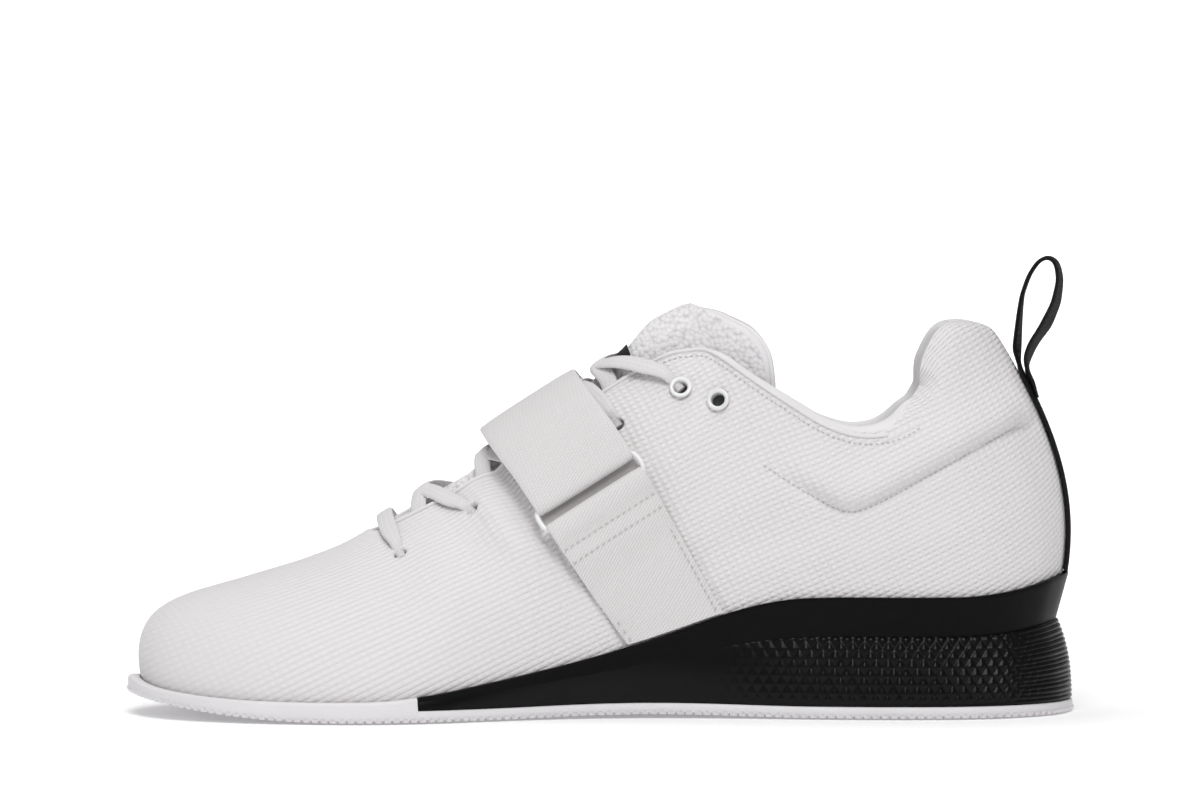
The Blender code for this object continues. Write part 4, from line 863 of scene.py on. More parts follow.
def plate(name, front_grid, back_grid, finishes, sharp, border):
    """A closed plate between two grids of points; its last rows, the border, have their own finish."""
    rows, columns = front_grid.shape[:2]
    face_finish = np.repeat(np.arange(rows - 1) >= rows - 1 - border, 2 * columns).astype(int)
    face_finish = np.concatenate([face_finish, [0] * (columns - 1), [1] * (columns - 1)])
    ring = np.concatenate([front_grid, back_grid[:, ::-1]], axis=1)
    quads = grid_quads(rows, 2 * columns, False, True).reshape(-1, 4).tolist()
    for row in (0, rows - 1):
        start = row * 2 * columns
        quads += [
            (start + j, start + j + 1, start + 2 * columns - 2 - j, start + 2 * columns - 1 - j)
            for j in range(columns - 1)
        ]
    u = np.cumsum(np.linalg.norm(np.diff(ring, axis=1, prepend=ring[:, :1]), axis=2), axis=1)
    v = np.cumsum(np.linalg.norm(np.diff(ring, axis=0, prepend=ring[:1]), axis=2), axis=0)
    place = np.stack([u, v], -1)
    places = ring.reshape(-1, 3), quads, finishes, place.reshape(-1, 2)
    return make_piece(name, *places, face_finish, sharp)


spacer = Finish("spacer_mesh", (0.785, 0.77, 0.78), 0.88, Sheen_Weight=0.2)
knots = spacer.sum("SUBTRACT", 1.0, spacer.sum("POWER", spacer.sum("MINIMUM", spacer.cells(1.5), 1.0), 2.0))
knots = spacer.sum("MULTIPLY", knots, spacer.sum("ADD", spacer.sum("MULTIPLY", spacer.noise(4.0), 0.8), 0.5))
spacer.tint(knots, 0.8, 1.04)
spacer.bump(knots, 0.7, 0.85)
spacer.bump(spacer.noise(0.35, 2.0), 0.08, 0.5)
tongue = plate("padded_tongue", front_face, back_face, [spacer.material, lining.material], 70, 2)
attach(tongue, "root")
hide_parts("tongue")

TRIM_RADIUS, TRIM_FROM = 0.9, 64
trim_way = np.concatenate([core[TRIM_FROM:, 0], core[-1, 1:-1], core[:TRIM_FROM:-1, -1]])
trim = line_object("tongue_trim", [trim_way])
grown(trim, PIPING, {"Radius": TRIM_RADIUS * MM, "Finish": lining.material})
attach(trim, "root")

film = Finish("black_film", (0.012, 0.012, 0.013), 0.42, Specular_IOR_Level=0.3)
film.tint(film.noise(6.0, 3.0), 0.8, 1.3)
film.gloss(film.noise(2.0, 3.0), 0.36, 0.5)
film.bump(film.noise(0.6, 2.0), 0.04, 0.4)
LABEL_X, LABEL_HALF, LABEL_CLEAR, LABEL_THICK = (5.2, 6.8, 8.4, 10.0), 4.6, 0.45, 0.45
label_across = [np.linspace(-1, 1, 13) * LABEL_HALF / tongue_half(x) for x in LABEL_X]
label_rows = np.array([tongue_section(x, across) for x, across in zip(LABEL_X, label_across)])
label_out = grid_normals(label_rows, False)
label_out *= np.sign(label_out[..., 2:].mean())
label_low = label_rows + label_out * LABEL_CLEAR
label_top = label_low + label_out * LABEL_THICK
label = plate("plain_label", label_top, label_low, [film.material, film.material], 50, 0)
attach(label, "root")
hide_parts("tongue_label")

# Eyelets: enamelled grommets pressed into the two upper holes of each side. The profile is turned
# round the hole's axis, and a dark disc set deep in each bore is painted shade inside the hole.

enamel = Finish("white_enamel", (0.74, 0.74, 0.745), 0.32, Coat_Weight=0.5, Coat_Roughness=0.15)
enamel.gloss(enamel.noise(1.5, 2.0), 0.28, 0.42)
enamel.bump(enamel.noise(1.0, 2.0), 0.03, 0.3)
# Painted shade: a near-black finish for the disc deep in each eyelet, so the hole reads as shaded.
bore_shade = Finish("painted_bore_shade", (0.055, 0.055, 0.057), 0.9)
bore_shade.tint(bore_shade.noise(0.6, 3.0), 0.6, 1.5)
bore_shade.bump(bore_shade.noise(0.4, 2.0), 0.1, 0.6)
GROMMET_LIFT, GROMMET_SIDES = 0.7, 40
GROMMET_PROFILE = [
    *((2.1, -3.4), (2.4, -3.4), (2.4, 0.0), (3.45, 0.0), (3.5, 0.12), (3.42, 0.34), (3.2, 0.48)),
    *((2.9, 0.54), (2.6, 0.5), (2.3, 0.38), (2.13, 0.16), (2.1, -0.1)),
]
for side, word in ((-1, "medial"), (1, "lateral")):
    for number in (4, 5):
        x, z = EYELETS[number]
        place, _ = hole_places[side, number]
        out = sum(surface_point(side, x + step, z, 2)[1] for step in (-3.5, 0, 3.5))
        out /= np.linalg.norm(out)
        hoops = np.array(
            [circle(place + out * (GROMMET_LIFT + h), out, r, GROMMET_SIDES) for r, h in GROMMET_PROFILE]
        )
        faces = grid_quads(len(hoops), GROMMET_SIDES, True, True).reshape(-1, 4).tolist()
        # A dark disc 3.2 mm down the bore, as painted shade inside the hole.
        shade_disc = circle(place + out * (GROMMET_LIFT - 3.2), out, 2.35, GROMMET_SIDES)
        behind = shade_disc - out * 0.3
        base = len(hoops) * GROMMET_SIDES
        faces += (grid_quads(2, GROMMET_SIDES, False, True).reshape(-1, 4) + base).tolist()
        faces += [tuple(base + m for m in range(GROMMET_SIDES))]
        faces += [tuple(base + GROMMET_SIDES + m for m in range(GROMMET_SIDES))]
        parts = [0] * (len(faces) - GROMMET_SIDES - 2) + [1] * (GROMMET_SIDES + 2)
        eyelet = make_piece(
            f"grommet_{word}_{number + 1}",
            np.concatenate([hoops.reshape(-1, 3), shade_disc, behind]),
            faces,
            [enamel.material, bore_shade.material],
            face_finish=parts,
        )
        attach(eyelet, "root")
        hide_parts(f"eyelet_{word}_{number + 1}")

# Insole: a moulded foam sheet with a knitted cover, laid in loose on the lasting margin. Its edge is
# rounded off where it meets the lining.

INSOLE_CLEAR, INSOLE_SEAT = 1.1, 2.5 * GAP
INSOLE_EDGE = ((0, 0), (0, 1.2), (0.15, 2.4), (0.6, 3.2), (1.4, 3.6))
cover = Finish("insole_cover", (0.60, 0.60, 0.61), 0.9, Sheen_Weight=0.3)
cover.tint(cover.noise(0.9, 2.0), 0.82, 1.05)
cover.bump(cover.cells(0.9), 0.15, 0.7)


def both_sides(profile, at):
    """Closed rings across the shoe from one profile function for each side."""
    one = np.stack(profile(at), 1)
    other = np.stack(profile(TURNS - at), 1)
    return np.concatenate([one, other[:, ::-1]], axis=1)


def insole_profile(turn):
    """One side of the insole."""
    row, out = rows_at(turn), foot_normals(turn)
    place = row[:, :2] - out * (WALL + INSOLE_CLEAR)
    low = feather_z(place[:, 0]) + LASTING_BOARD + INSOLE_SEAT
    return [np.column_stack([place - out * inset, low + height]) for inset, height in INSOLE_EDGE]


def lofted(name, rings, finishes, caps=(False, False), cloth_place=None, face_finish=None, sharp=50):
    """A closed piece through rings of points."""
    rows, columns = rings.shape[:2]
    faces = grid_quads(rows, columns, False, True).reshape(-1, 4).tolist()
    if caps[0]:
        faces.append(tuple(range(columns)))
    if caps[1]:
        faces.append(tuple((rows - 1) * columns + m for m in range(columns)))
    return make_piece(name, rings.reshape(-1, 3), faces, finishes, cloth_place, face_finish, sharp)


insole_rings = both_sides(insole_profile, np.linspace(0, HEEL, 201))
insole = lofted("knit_covered_insole", insole_rings, [cover.material])
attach(insole, "root")
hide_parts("insole")

# Outsole: white moulded rubber with a rim round the forefoot and small square studs underneath,
# which stand on the floor.

SPRING_FROM_X, SPRING_RISE, SPRING_POWER = -78.0, 6.7, 2.0
ARCH_X, ARCH_HALF, ARCH_RISE = 15.0, 52.0, 0.8
WEDGE_FRONT_X, OUTSOLE_REAR, KEY_DEPTH = -56.0, 4.0, 0.35
STUD_DEEP, STUD_PITCH, STUD_SIZE = 1.1, 3.4, 1.45


def sole_bottom(x):
    """Height of the tread: toe spring in front, a slight lift under the arch."""
    x = np.asarray(x, float)
    toe = np.clip((SPRING_FROM_X - x) / (SPRING_FROM_X + 145.7), 0, None)
    arch_share = np.clip(1 - np.abs(x - ARCH_X) / ARCH_HALF, 0, 1)
    return SPRING_RISE * toe**SPRING_POWER + ARCH_RISE * arch_share**2 * (3 - 2 * arch_share)


def sole_edge(turn, inset):
    """Points of the outsole's outline, moved in by inset."""
    row = rows_at(turn)
    return row[:, :2] + foot_normals(turn) * (row[:, [FLARE]] - inset)


def raised(places, z):
    """Places in plan with their heights."""
    return np.column_stack([places, z])


def outsole_profile(turn):
    """One side of the outsole, from the tread's edge up and over the rim to the bed."""
    row = rows_at(turn)
    bottom = sole_bottom(row[:, 0]) + STUD_DEEP
    front_part = row[:, 0] < WEDGE_FRONT_X - 0.1
    rim = np.where(front_part, row[:, RIM_Z], bottom - STUD_DEEP + OUTSOLE_REAR)
    bed = np.where(front_part, row[:, 2] - GAP, rim - KEY_DEPTH)
    inset = np.maximum(row[:, FLARE] - 2 * GAP, 1.2)[:, None]
    shape = [(1.9, bottom), (0.5, bottom + 0.15), (0.12, bottom + 0.7), (0.0, rim - 1.3)]
    shape += [(0.1, rim - 0.6), (0.4, rim - 0.15), (0.9, rim), (inset - 0.3, rim), (inset, rim - 0.25)]
    return [raised(sole_edge(turn, off), z) for off, z in [*shape, (inset, np.minimum(bed, rim - 0.3))]]


rubber = Finish("white_rubber", (0.75, 0.735, 0.748), 0.5, Specular_IOR_Level=0.45)
rubber.tint(rubber.noise(14.0, 3.0), 0.93, 1.02)
rubber.gloss(rubber.noise(3.0, 3.0), 0.44, 0.62)
rubber.bump(rubber.noise(0.9, 3.0), 0.07, 0.5)
step = float(np.interp(WEDGE_FRONT_X, rows_at(steps)[:, 0], steps))
sole_turns = np.array(sorted({*np.linspace(0, HEEL, 251), step - 0.02, step}))
outsole = lofted("rubber_outsole", both_sides(outsole_profile, sole_turns), [rubber.material], sharp=45)
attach(outsole, "root")
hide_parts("outsole")


def stud_tree():
    """Square studs on points, all of one size."""
    tree, given = node_group("tread_studs", "Size", "Depth")
    spots = new_node(tree, "GeometryNodeMeshToPoints", {"Mesh": given["Geometry"]})
    form = {"Vertices": 4, "Radius Top": 1.0, "Radius Bottom": 0.72, "Depth": 1.0}
    stud = new_node(tree, "GeometryNodeMeshCone", form)
    lay = laid(tree, spots, stud, (given["Size"], given["Size"], given["Depth"]))
    return finished(tree, lay.outputs["Instances"], given["Finish"], smooth=False)


outline = np.linspace(0.2, HEEL - 0.2, 300)
near_edge = sole_edge(outline, 1.9)
far_edge = sole_edge(TURNS - outline, 1.9)
stud_places = []
for k, x in enumerate(np.arange(-143, 144, STUD_PITCH / 2)):
    low_y = float(np.interp(x, near_edge[:, 0], near_edge[:, 1]))
    high_y = float(np.interp(x, far_edge[:, 0], far_edge[:, 1]))
    fit = int((high_y - low_y) // STUD_PITCH)
    start = (low_y + high_y - fit * STUD_PITCH) / 2 + (k % 2 - 0.5) * STUD_PITCH / 2
    stud_places += [
        (x, start + m * STUD_PITCH, float(sole_bottom(x)) + STUD_DEEP / 2 + 0.02)
        for m in range(fit + 1)
        if low_y < start + m * STUD_PITCH < high_y
    ]
edge_turns = np.linspace(0, TURNS, 4001)[:-1]
edge_places = sole_edge(edge_turns, 0.95)
walked = np.cumsum(np.linalg.norm(np.diff(edge_places, axis=0, prepend=edge_places[-1:]), axis=1))
edge_picks = np.searchsorted(walked, np.arange(0.5, walked[-1] - 1, 0.8 * STUD_PITCH))
stud_places += [(x, y, float(sole_bottom(x)) + STUD_DEEP / 2 + 0.02) for x, y in edge_places[edge_picks]]
tread = line_object("tread_studs", [[place] for place in stud_places])
stud_sizes = {"Size": STUD_SIZE * MM, "Depth": STUD_DEEP * MM, "Finish": rubber.material}
grown(tread, stud_tree(), stud_sizes)
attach(tread, "root")

# Heel wedge: black moulded plastic, cupped round the heel. Its lower band has fine level ribs round
# the back and a relief of small diamonds on the flanks, and the band above is smooth.

RIM_WALL, LEDGE_AT, WAIST_OF_FLARE, FULL_WAIST_HEIGHT = 1.6, 0.63, 0.58, 28.0
FINE_RIBS, RIB_DEEP = 17, 0.5
DIAMOND_LONG, DIAMOND_HIGH, DIAMOND_DEEP, FACET_LIFT = 3.6, 5.4, 0.55, 1.3
DIAMONDS_FROM_X, BACK_RIBS_FROM_X, DIAMONDS_FROM_SHARE = (30, 78), (118, 134), (0.02, 0.08)


def at_height(turn, z, stand_off):
    """Where the upper's outer face is at height z, moved out by stand_off."""
    t = np.linspace(0, 0.6, 61)
    ribs = wall_points(turn, np.tile(t, (len(turn), 1)))
    found = np.array([np.interp(height, rib[:, 2], t) for height, rib in zip(z, ribs)])
    return wall_points(turn, found[:, None])[:, 0, :2] + foot_normals(turn) * stand_off


def wedge_side(turn, share_up, stand=0.0):
    """A point of the wedge's outer side: share_up is 0 at the outsole and 1 at the rim."""
    row = rows_at(turn)
    bottom = sole_bottom(row[:, 0]) + OUTSOLE_REAR + GAP
    rim = row[:, RIM_Z]
    low, high = sole_edge(turn, 0.7), at_height(turn, rim, GAP + RIM_WALL)
    depth = WAIST_OF_FLARE * row[:, FLARE] * np.clip((rim - bottom) / FULL_WAIST_HEIGHT, 0, 1)
    if share_up < LEDGE_AT:
        pull = (share_up / LEDGE_AT) ** 2.6
    else:
        pull = (1 - share_up) / (1 - LEDGE_AT)
    place = low + (high - low) * share_up - foot_normals(turn) * (depth * pull - stand)[:, None]
    return raised(place, bottom + (rim - bottom) * share_up)


def flank_relief(turn, share_up):
    """Ribs and diamonds of the lower band."""
    row = rows_at(turn)
    place = wedge_side(turn, share_up)
    back = ramp(row[:, 0], *BACK_RIBS_FROM_X)
    ribs = RIB_DEEP * np.abs(math.sin(math.pi * FINE_RIBS * share_up / LEDGE_AT)) ** 0.7
    along = np.cumsum(np.linalg.norm(np.diff(place[:, :2], axis=0, prepend=place[:1, :2]), axis=1))
    p = math.pi * (along / DIAMOND_LONG + place[:, 2] / DIAMOND_HIGH)
    q = math.pi * (along / DIAMOND_LONG - place[:, 2] / DIAMOND_HIGH)
    diamonds = DIAMOND_DEEP * np.minimum(np.abs(np.sin(p)), np.abs(np.sin(q))) * FACET_LIFT
    fade = ramp(row[:, 0], *DIAMONDS_FROM_X) * (1 - back) * ramp(share_up, *DIAMONDS_FROM_SHARE)
    return ribs * back + diamonds * fade


BAND_SHARES = np.linspace(0.0, LEDGE_AT, 90)
CUP_SHARES = (0.008, 0.03, 0.09, 0.16, 0.24, 0.32, 0.35)


def wedge_profile(turn):
    """One side of the wedge: relief band, ledge, smooth cup band, rim and the bed inside."""
    row = rows_at(turn)
    points = [wedge_side(turn, 0.0)]
    points += [wedge_side(turn, s, flank_relief(turn, s)) for s in BAND_SHARES[1:-1]]
    points.append(wedge_side(turn, LEDGE_AT))
    points += [wedge_side(turn, LEDGE_AT + s) for s in CUP_SHARES]
    rim, bed = row[:, RIM_Z], row[:, 2] - GAP
    points.append(raised(at_height(turn, rim, GAP + RIM_WALL - 0.25), rim - 0.1))
    points.append(raised(at_height(turn, rim, GAP + RIM_WALL - 0.8), rim))
    points.append(raised(at_height(turn, rim, GAP), rim))
    points.append(raised(at_height(turn, (rim + row[:, 2]) / 2, GAP), (rim + row[:, 2]) / 2))
    points.append(raised(row[:, :2] + foot_normals(turn) * GAP, bed))
    return points


satin = Finish("black_moulded_plastic", (0.003, 0.0026, 0.0031), 0.42, Specular_IOR_Level=0.08)
satin.tint(satin.noise(18.0, 3.0), 0.85, 1.25)
satin.gloss(satin.noise(4.0, 3.0), 0.34, 0.46)
satin.bump(satin.noise(0.5, 3.0), 0.05, 0.6)
relief_black = Finish("black_relief_plastic", (0.0026, 0.0022, 0.0027), 0.34, Specular_IOR_Level=0.16)
relief_black.tint(relief_black.noise(9.0, 3.0), 0.8, 1.3)
relief_black.gloss(relief_black.noise(3.0, 3.0), 0.26, 0.38)
relief_black.bump(relief_black.noise(0.5, 3.0), 0.04, 0.5)
start = float(np.interp(WEDGE_FRONT_X + GAP, rows_at(steps)[:, 0], steps))
wedge_turns = np.concatenate([np.linspace(start, 13, 40)[:-1], np.linspace(13, HEEL, 390)])
wedge_rings = both_sides(wedge_profile, wedge_turns)
columns = np.arange(wedge_rings.shape[1])
in_band = (columns < len(BAND_SHARES) - 1) | (columns > len(columns) - len(BAND_SHARES) - 1)
band_finish = np.concatenate([np.tile(in_band, len(wedge_turns) - 1).astype(int), [0]])
finishes = [satin.material, relief_black.material]
wedge = lofted("moulded_wedge", wedge_rings, finishes, (True, False), None, band_finish, 40)
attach(wedge, "root")
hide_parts("heel_wedge")

# Side band: webbing sewn in at the sole on the medial side. It climbs to the ring, turns round its
# lower bar and is sewn down on itself with two rows across. A row down each edge holds it to the
# upper, and a thin grey sheet lies behind the ring's slot as painted shade, so the slot reads as shaded.

BAND_TILT = math.radians(32.4)
BAND_MIDDLE = np.array([-1.9, 0, 69.8])
WIDTH_WAY = np.array([math.cos(BAND_TILT), 0, math.sin(BAND_TILT)])
LENGTH_WAY = np.array([-math.sin(BAND_TILT), 0, math.cos(BAND_TILT)])
WEBBING, WEBBING_CLEAR, RING_THICK = 1.5, 0.6, 1.5
PLY = WEBBING + GAP
FOLD_RADIUS = 0.5 * (WEBBING + RING_THICK) + GAP
RING_INNER_H = (-4.35, 3.0)
MIDDLE_W, CROWN_MIDDLE_W, STRAP_HALF = -1.7, -3.3, 17.2
BAND_HALF, BAND_TAPER, WEB_LINES = 17.4, 0.055, 33
BAND_FOOT_HALF, STRAP_FOOT_HALF = BAND_HALF - 40 * BAND_TAPER, STRAP_HALF - 35 * BAND_TAPER
CROWN_H = 28.0
CROWN_LIFT_FRONT, CROWN_LIFT_REAR, OVER_LACE_LIFT = 5.9, 4.4, 3.6
FREE_END_H = -4.0


def arch(side, w):
    """The upper's outline in the tilted plane at w: heights h, points and normals, foot to ridge."""
    points, normals = (grid[20:300] for grid in FINE[side])
    offset = (points - BAND_MIDDLE) @ WIDTH_WAY
    order = np.arange(len(offset))
    at = np.array([np.interp(w, column, order) for column in offset.T])
    low = np.minimum(at.astype(int), len(order) - 2)
    part = (at - low)[:, None]
    rib = np.arange(len(low))
    found = points[low, rib] * (1 - part) + points[low + 1, rib] * part
    out = normals[low, rib] * (1 - part) + normals[low + 1, rib] * part
    out[-1] = out[-2] * (1, 0, 1)
    out /= np.linalg.norm(out, axis=1, keepdims=True)
    return (found - BAND_MIDDLE) @ LENGTH_WAY, found, out


def over_upper(side, w, h, lift):
    """The point at (w, h) of the upper's side, stood off by lift."""
    heights, points, out = arch(side, w)
    place = np.array([np.interp(h, heights, column) for column in points.T])
    away = np.array([np.interp(h, heights, column) for column in out.T])
    return place + away * lift / np.linalg.norm(away)


def clear_of_rim(side, w):
    """The lowest height h on the upper's side that is clear of the sole's rim."""
    heights, points, _ = arch(side, w)
    at = np.linspace(5, HEEL - 8, 200)
    rows = rows_at(at if side < 0 else TURNS - at)
    rim = np.interp(points[:, 0], rows[:, 0], rows[:, RIM_Z])
    return float(np.interp(0, points[:, 2] - rim - 3 * GAP, heights))


def fold(edge_h, turn_down):
    """Heights and lifts round a bar of the ring, from the inner ply to the outer ply."""
    angles = np.linspace(0, math.pi, 9)
    way = -1 if turn_down else 1
    heights = edge_h + way * (GAP + FOLD_RADIUS * np.sin(angles))
    return heights, WEBBING_CLEAR + WEBBING / 2 + FOLD_RADIUS * (1 - np.cos(angles))


def refined(lines, spacing, passes):
    """Lines of points drawn again at an even spacing and softened, and how far along each is."""
    lines = np.array(lines)
    stride = np.linalg.norm(np.diff(lines, axis=1), axis=2).mean(0)
    place = np.concatenate([[0], np.cumsum(stride)])
    goal = np.linspace(0, place[-1], int(place[-1] / spacing) + 2)
    fine = np.array([[np.interp(goal, place, column) for column in line.T] for line in lines])
    fine = fine.swapaxes(1, 2)
    for _ in range(passes):
        fine[:, 1:-1] = (fine[:, :-2] + 2 * fine[:, 1:-1] + fine[:, 2:]) / 4
    return fine, goal


EDGE_ROUNDNESS, SELVEDGE_OUT, SELVEDGE_IN, SELVEDGE_WIDE, THINNED = 10, 0.93, 0.86, 0.03, 0.35


def ribbon(name, lines, goal, thick, widths, finishes, selvedge=0.1, thin_end=0.0):
    """Webbing along middle lines, one for each place across its width, with rounded edges."""
    across = np.gradient(lines, axis=0)
    up = np.cross(np.gradient(lines, axis=1), across)
    up /= np.linalg.norm(up, axis=-1, keepdims=True)
    s = np.linspace(-1, 1, len(lines))
    body = np.sqrt(np.clip(1 - np.abs(s) ** EDGE_ROUNDNESS, 0.02, 1))
    ridge = hump(np.abs(s) - SELVEDGE_OUT, SELVEDGE_WIDE) - hump(np.abs(s) - SELVEDGE_IN, SELVEDGE_WIDE)
    ridge *= selvedge
    end = 1 if thin_end == 0 else THINNED + (1 - THINNED) * ramp(goal[-1] - goal, 0, thin_end)
    half_thick = ((thick / 2 * body + ridge)[:, None] * (end * np.ones(len(goal)))[None])[..., None]
    faces_up, faces_down = lines + up * half_thick, lines - up * half_thick
    rings = np.concatenate([faces_up, faces_down[::-1]], axis=0).swapaxes(0, 1)
    u = np.concatenate([s * widths, s[::-1] * widths])
    place = np.stack(np.meshgrid(u, goal), -1).reshape(-1, 2)
    return lofted(name, rings, finishes, (True, True), place, sharp=60)


web = Finish("woven_webbing", (0.705, 0.688, 0.688), 0.72, Sheen_Weight=0.15)
twill = web.weave(rib=0.85, bead=1.5, angle=28, beading=0.4)
web.tint(twill, 0.86, 1.05)
web.bump(twill, 0.18, 0.85)
web.bump(web.noise(0.3, 2.0), 0.04, 0.5)

# The band's way is a row of heights with their lifts off the upper.
ply = WEBBING_CLEAR + WEBBING / 2
heights, lifts = fold(RING_INNER_H[0], False)
way = [(-24.0, ply), (-20.0, ply + 0.9), (-16.3, ply + PLY), (-9.8, ply + PLY)]
way += [(-6.8, lifts[-1]), *zip(heights[::-1], lifts[::-1]), (-9.8, ply), (-15.5, ply)]


def band_width(h):
    """Half the band's width at a height h: it narrows towards the sole."""
    return BAND_HALF + BAND_TAPER * min(h + 5, 0)


lines = []
for s in np.linspace(-1, 1, WEB_LINES):
    foot = clear_of_rim(-1, MIDDLE_W + s * BAND_FOOT_HALF)
    climb = [(foot + (way[0][0] - foot) * part, ply) for part in (0, 0.2, 0.4, 0.6, 0.8)]
    lines.append([over_upper(-1, MIDDLE_W + s * band_width(h), h, lift) for h, lift in climb + way])
band_lines, band_goal = refined(lines, 0.7, 6)
side_band = ribbon("ring_band", band_lines, band_goal, WEBBING, BAND_HALF, [web.material])
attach(side_band, "root")
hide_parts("side_band")

# Painted shade: a plain grey sheet under the ring's slot, standing in for the shade inside the slot.
slot_shade = Finish("painted_slot_shade", (0.5, 0.48, 0.475), 0.95, Sheen_Weight=0.2)
slot_shade.tint(slot_shade.noise(1.2, 3.0), 0.88, 1.08)
slot_shade.bump(slot_shade.noise(0.5, 3.0), 0.1, 0.6)
lines = [
    [over_upper(-1, MIDDLE_W + s * 16.6, h, 0.36) for h in np.linspace(-5.5, 5.5, 9)]
    for s in np.linspace(-1, 1, 17)
]
patch_lines, patch_goal = refined(lines, 1.0, 1)
patch = ribbon("slot_shade_sheet", patch_lines, patch_goal, 0.4, 16.6, [slot_shade.material], 0.0)
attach(patch, "root")

SEAM_LIFT = ply + WEBBING / 2 + 0.12


def band_line(h_values, s_values, lift):
    """A line on the band through heights h and places s across it."""
    return [over_upper(-1, MIDDLE_W + s * band_width(h), h, lift) for h, s in zip(h_values, s_values)]


above_sole = clear_of_rim(-1, MIDDLE_W - 0.9 * 15) + 1.5
across = np.linspace(-0.93, 0.93, 20)
seam_lines = [band_line([h] * 20, across, SEAM_LIFT + PLY) for h in (-11.0, -15.4)]
seam_lines.append(band_line(np.linspace(-19.0, -50.0, 20), [0.9] * 20, SEAM_LIFT))
seam_lines.append(band_line(np.linspace(-38.0, above_sole, 12), [-0.9] * 12, SEAM_LIFT))
sewn("band_stitching", seam_lines, 2.0, 1.3, thread, 0.5)

# Ring: a moulded white plastic ring that joins the side band to the strap. It is held by their folds
# and only its two rounded ends show.

shiny = Finish("white_plastic", (0.80, 0.80, 0.80), 0.36, Coat_Weight=0.2, Coat_Roughness=0.2)
shiny.gloss(shiny.noise(2.0, 2.0), 0.3, 0.45)
shiny.bump(shiny.noise(0.8, 2.0), 0.03, 0.3)
RING_OUT, RING_HALF, RING_BAR, RING_CORNER, RING_LOWER = 18.0, 4.5, 1.55, 4.0, 0.7


def ring_way():
    """The middle line of the ring's bar in the tilted plane: a rectangle with round corners."""
    way = []
    for turn_at, (w_sign, h_sign) in enumerate(((1, 1), (-1, 1), (-1, -1), (1, -1))):
        for a in np.linspace(turn_at, turn_at + 1, 13) * math.pi / 2:
            w = w_sign * (RING_OUT - RING_CORNER) + RING_CORNER * math.cos(a)
            way.append((w, h_sign * (RING_HALF - RING_CORNER) + RING_CORNER * math.sin(a)))
    return np.array(way)


RING_LIFT = WEBBING_CLEAR + WEBBING / 2 + FOLD_RADIUS
bar_way = ring_way()
bar_middle = np.array([over_upper(-1, MIDDLE_W + w, h - RING_LOWER, RING_LIFT) for w, h in bar_way])
bar_along = np.roll(bar_middle, -1, 0) - np.roll(bar_middle, 1, 0)
bar_out = np.cross(WIDTH_WAY, LENGTH_WAY)
bar_across = np.cross(bar_along, bar_out)
bar_across /= np.linalg.norm(bar_across, axis=1, keepdims=True)
angles = np.arange(16) * math.pi / 8
bar_rings = np.array(
    [
        m + np.outer(np.cos(angles), c) * RING_BAR / 2 + np.outer(np.sin(angles), bar_out) * RING_THICK / 2
        for m, c in zip(bar_middle, bar_across)
    ]
)
bar_faces = grid_quads(len(bar_rings), 16, True, True).reshape(-1, 4).tolist()
ring = make_piece("joining_ring", bar_rings.reshape(-1, 3), bar_faces, [shiny.material])
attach(ring, "root")
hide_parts("strap_ring")

# Instep strap: one webbing from the sole on the lateral side, over the laces, round the ring and
# back over its own first ply to a hook-and-loop end. Each place on its way is a side of the shoe, a
# height and a lift off the upper.

lines = []
heights, lifts = fold(RING_INNER_H[1], True)
for s in np.linspace(-1, 1, WEB_LINES):
    crest = (CROWN_LIFT_FRONT + CROWN_LIFT_REAR + s * (CROWN_LIFT_REAR - CROWN_LIFT_FRONT)) / 2
    climb = [(12.0, OVER_LACE_LIFT), (18.0, 0.6 * OVER_LACE_LIFT + 0.4 * crest), (22.5, crest)]
    climb += [(26.0, crest)]
    foot = clear_of_rim(1, MIDDLE_W + s * STRAP_FOOT_HALF)
    way = [(1, foot * (1 - part), ply) for part in np.linspace(0, 1, 8)]
    way += [(1, 4.5, 2.2), (1, 8.5, OVER_LACE_LIFT), *((1, *at) for at in climb)]
    way += [(-1, CROWN_H, crest), *((-1, *at) for at in climb[::-1])]
    way += [(-1, 10.3, OVER_LACE_LIFT - 0.4), (-1, 7.0, ply), *((-1, *at) for at in zip(heights, lifts))]
    way += [(-1, 7.0, lifts[-1]), (-1, 10.3, lifts[-1] + 0.5), *((-1, h, up + PLY) for h, up in climb)]
    way += [(1, CROWN_H, crest + PLY), *((1, h, up + PLY) for h, up in climb[::-1])]
    way += [(1, 8.5, OVER_LACE_LIFT + PLY), (1, 4.5, 2.2 + PLY), (1, 0.0, ply + PLY)]
    way += [(1, FREE_END_H, ply + PLY)]
    line = []
    for side, h, lift in way:
        climbed = np.clip((h - 12) / (CROWN_H - 12), 0, 1)
        w = MIDDLE_W + (CROWN_MIDDLE_W - MIDDLE_W) * climbed + s * (STRAP_HALF + BAND_TAPER * min(h + 5, 0))
        crown_h = arch(side, w)[0][-1]
        point = over_upper(side, w, h if h < 12 else 12 + (crown_h - 12) * climbed, lift)
        line.append(point * (1, 0, 1) if h == CROWN_H else point)
    lines.append(line)
strap_lines, strap_goal = refined(lines, 0.8, 7)
strap = ribbon("instep_strap", strap_lines, strap_goal, WEBBING, STRAP_HALF, [web.material])
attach(strap, "root")
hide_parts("strap")

# Lace: a flat white braid. A bar lies between the lowest holes, and above it two strands cross
# between each pair of holes; where a strand enters a hole it is drawn in narrow.

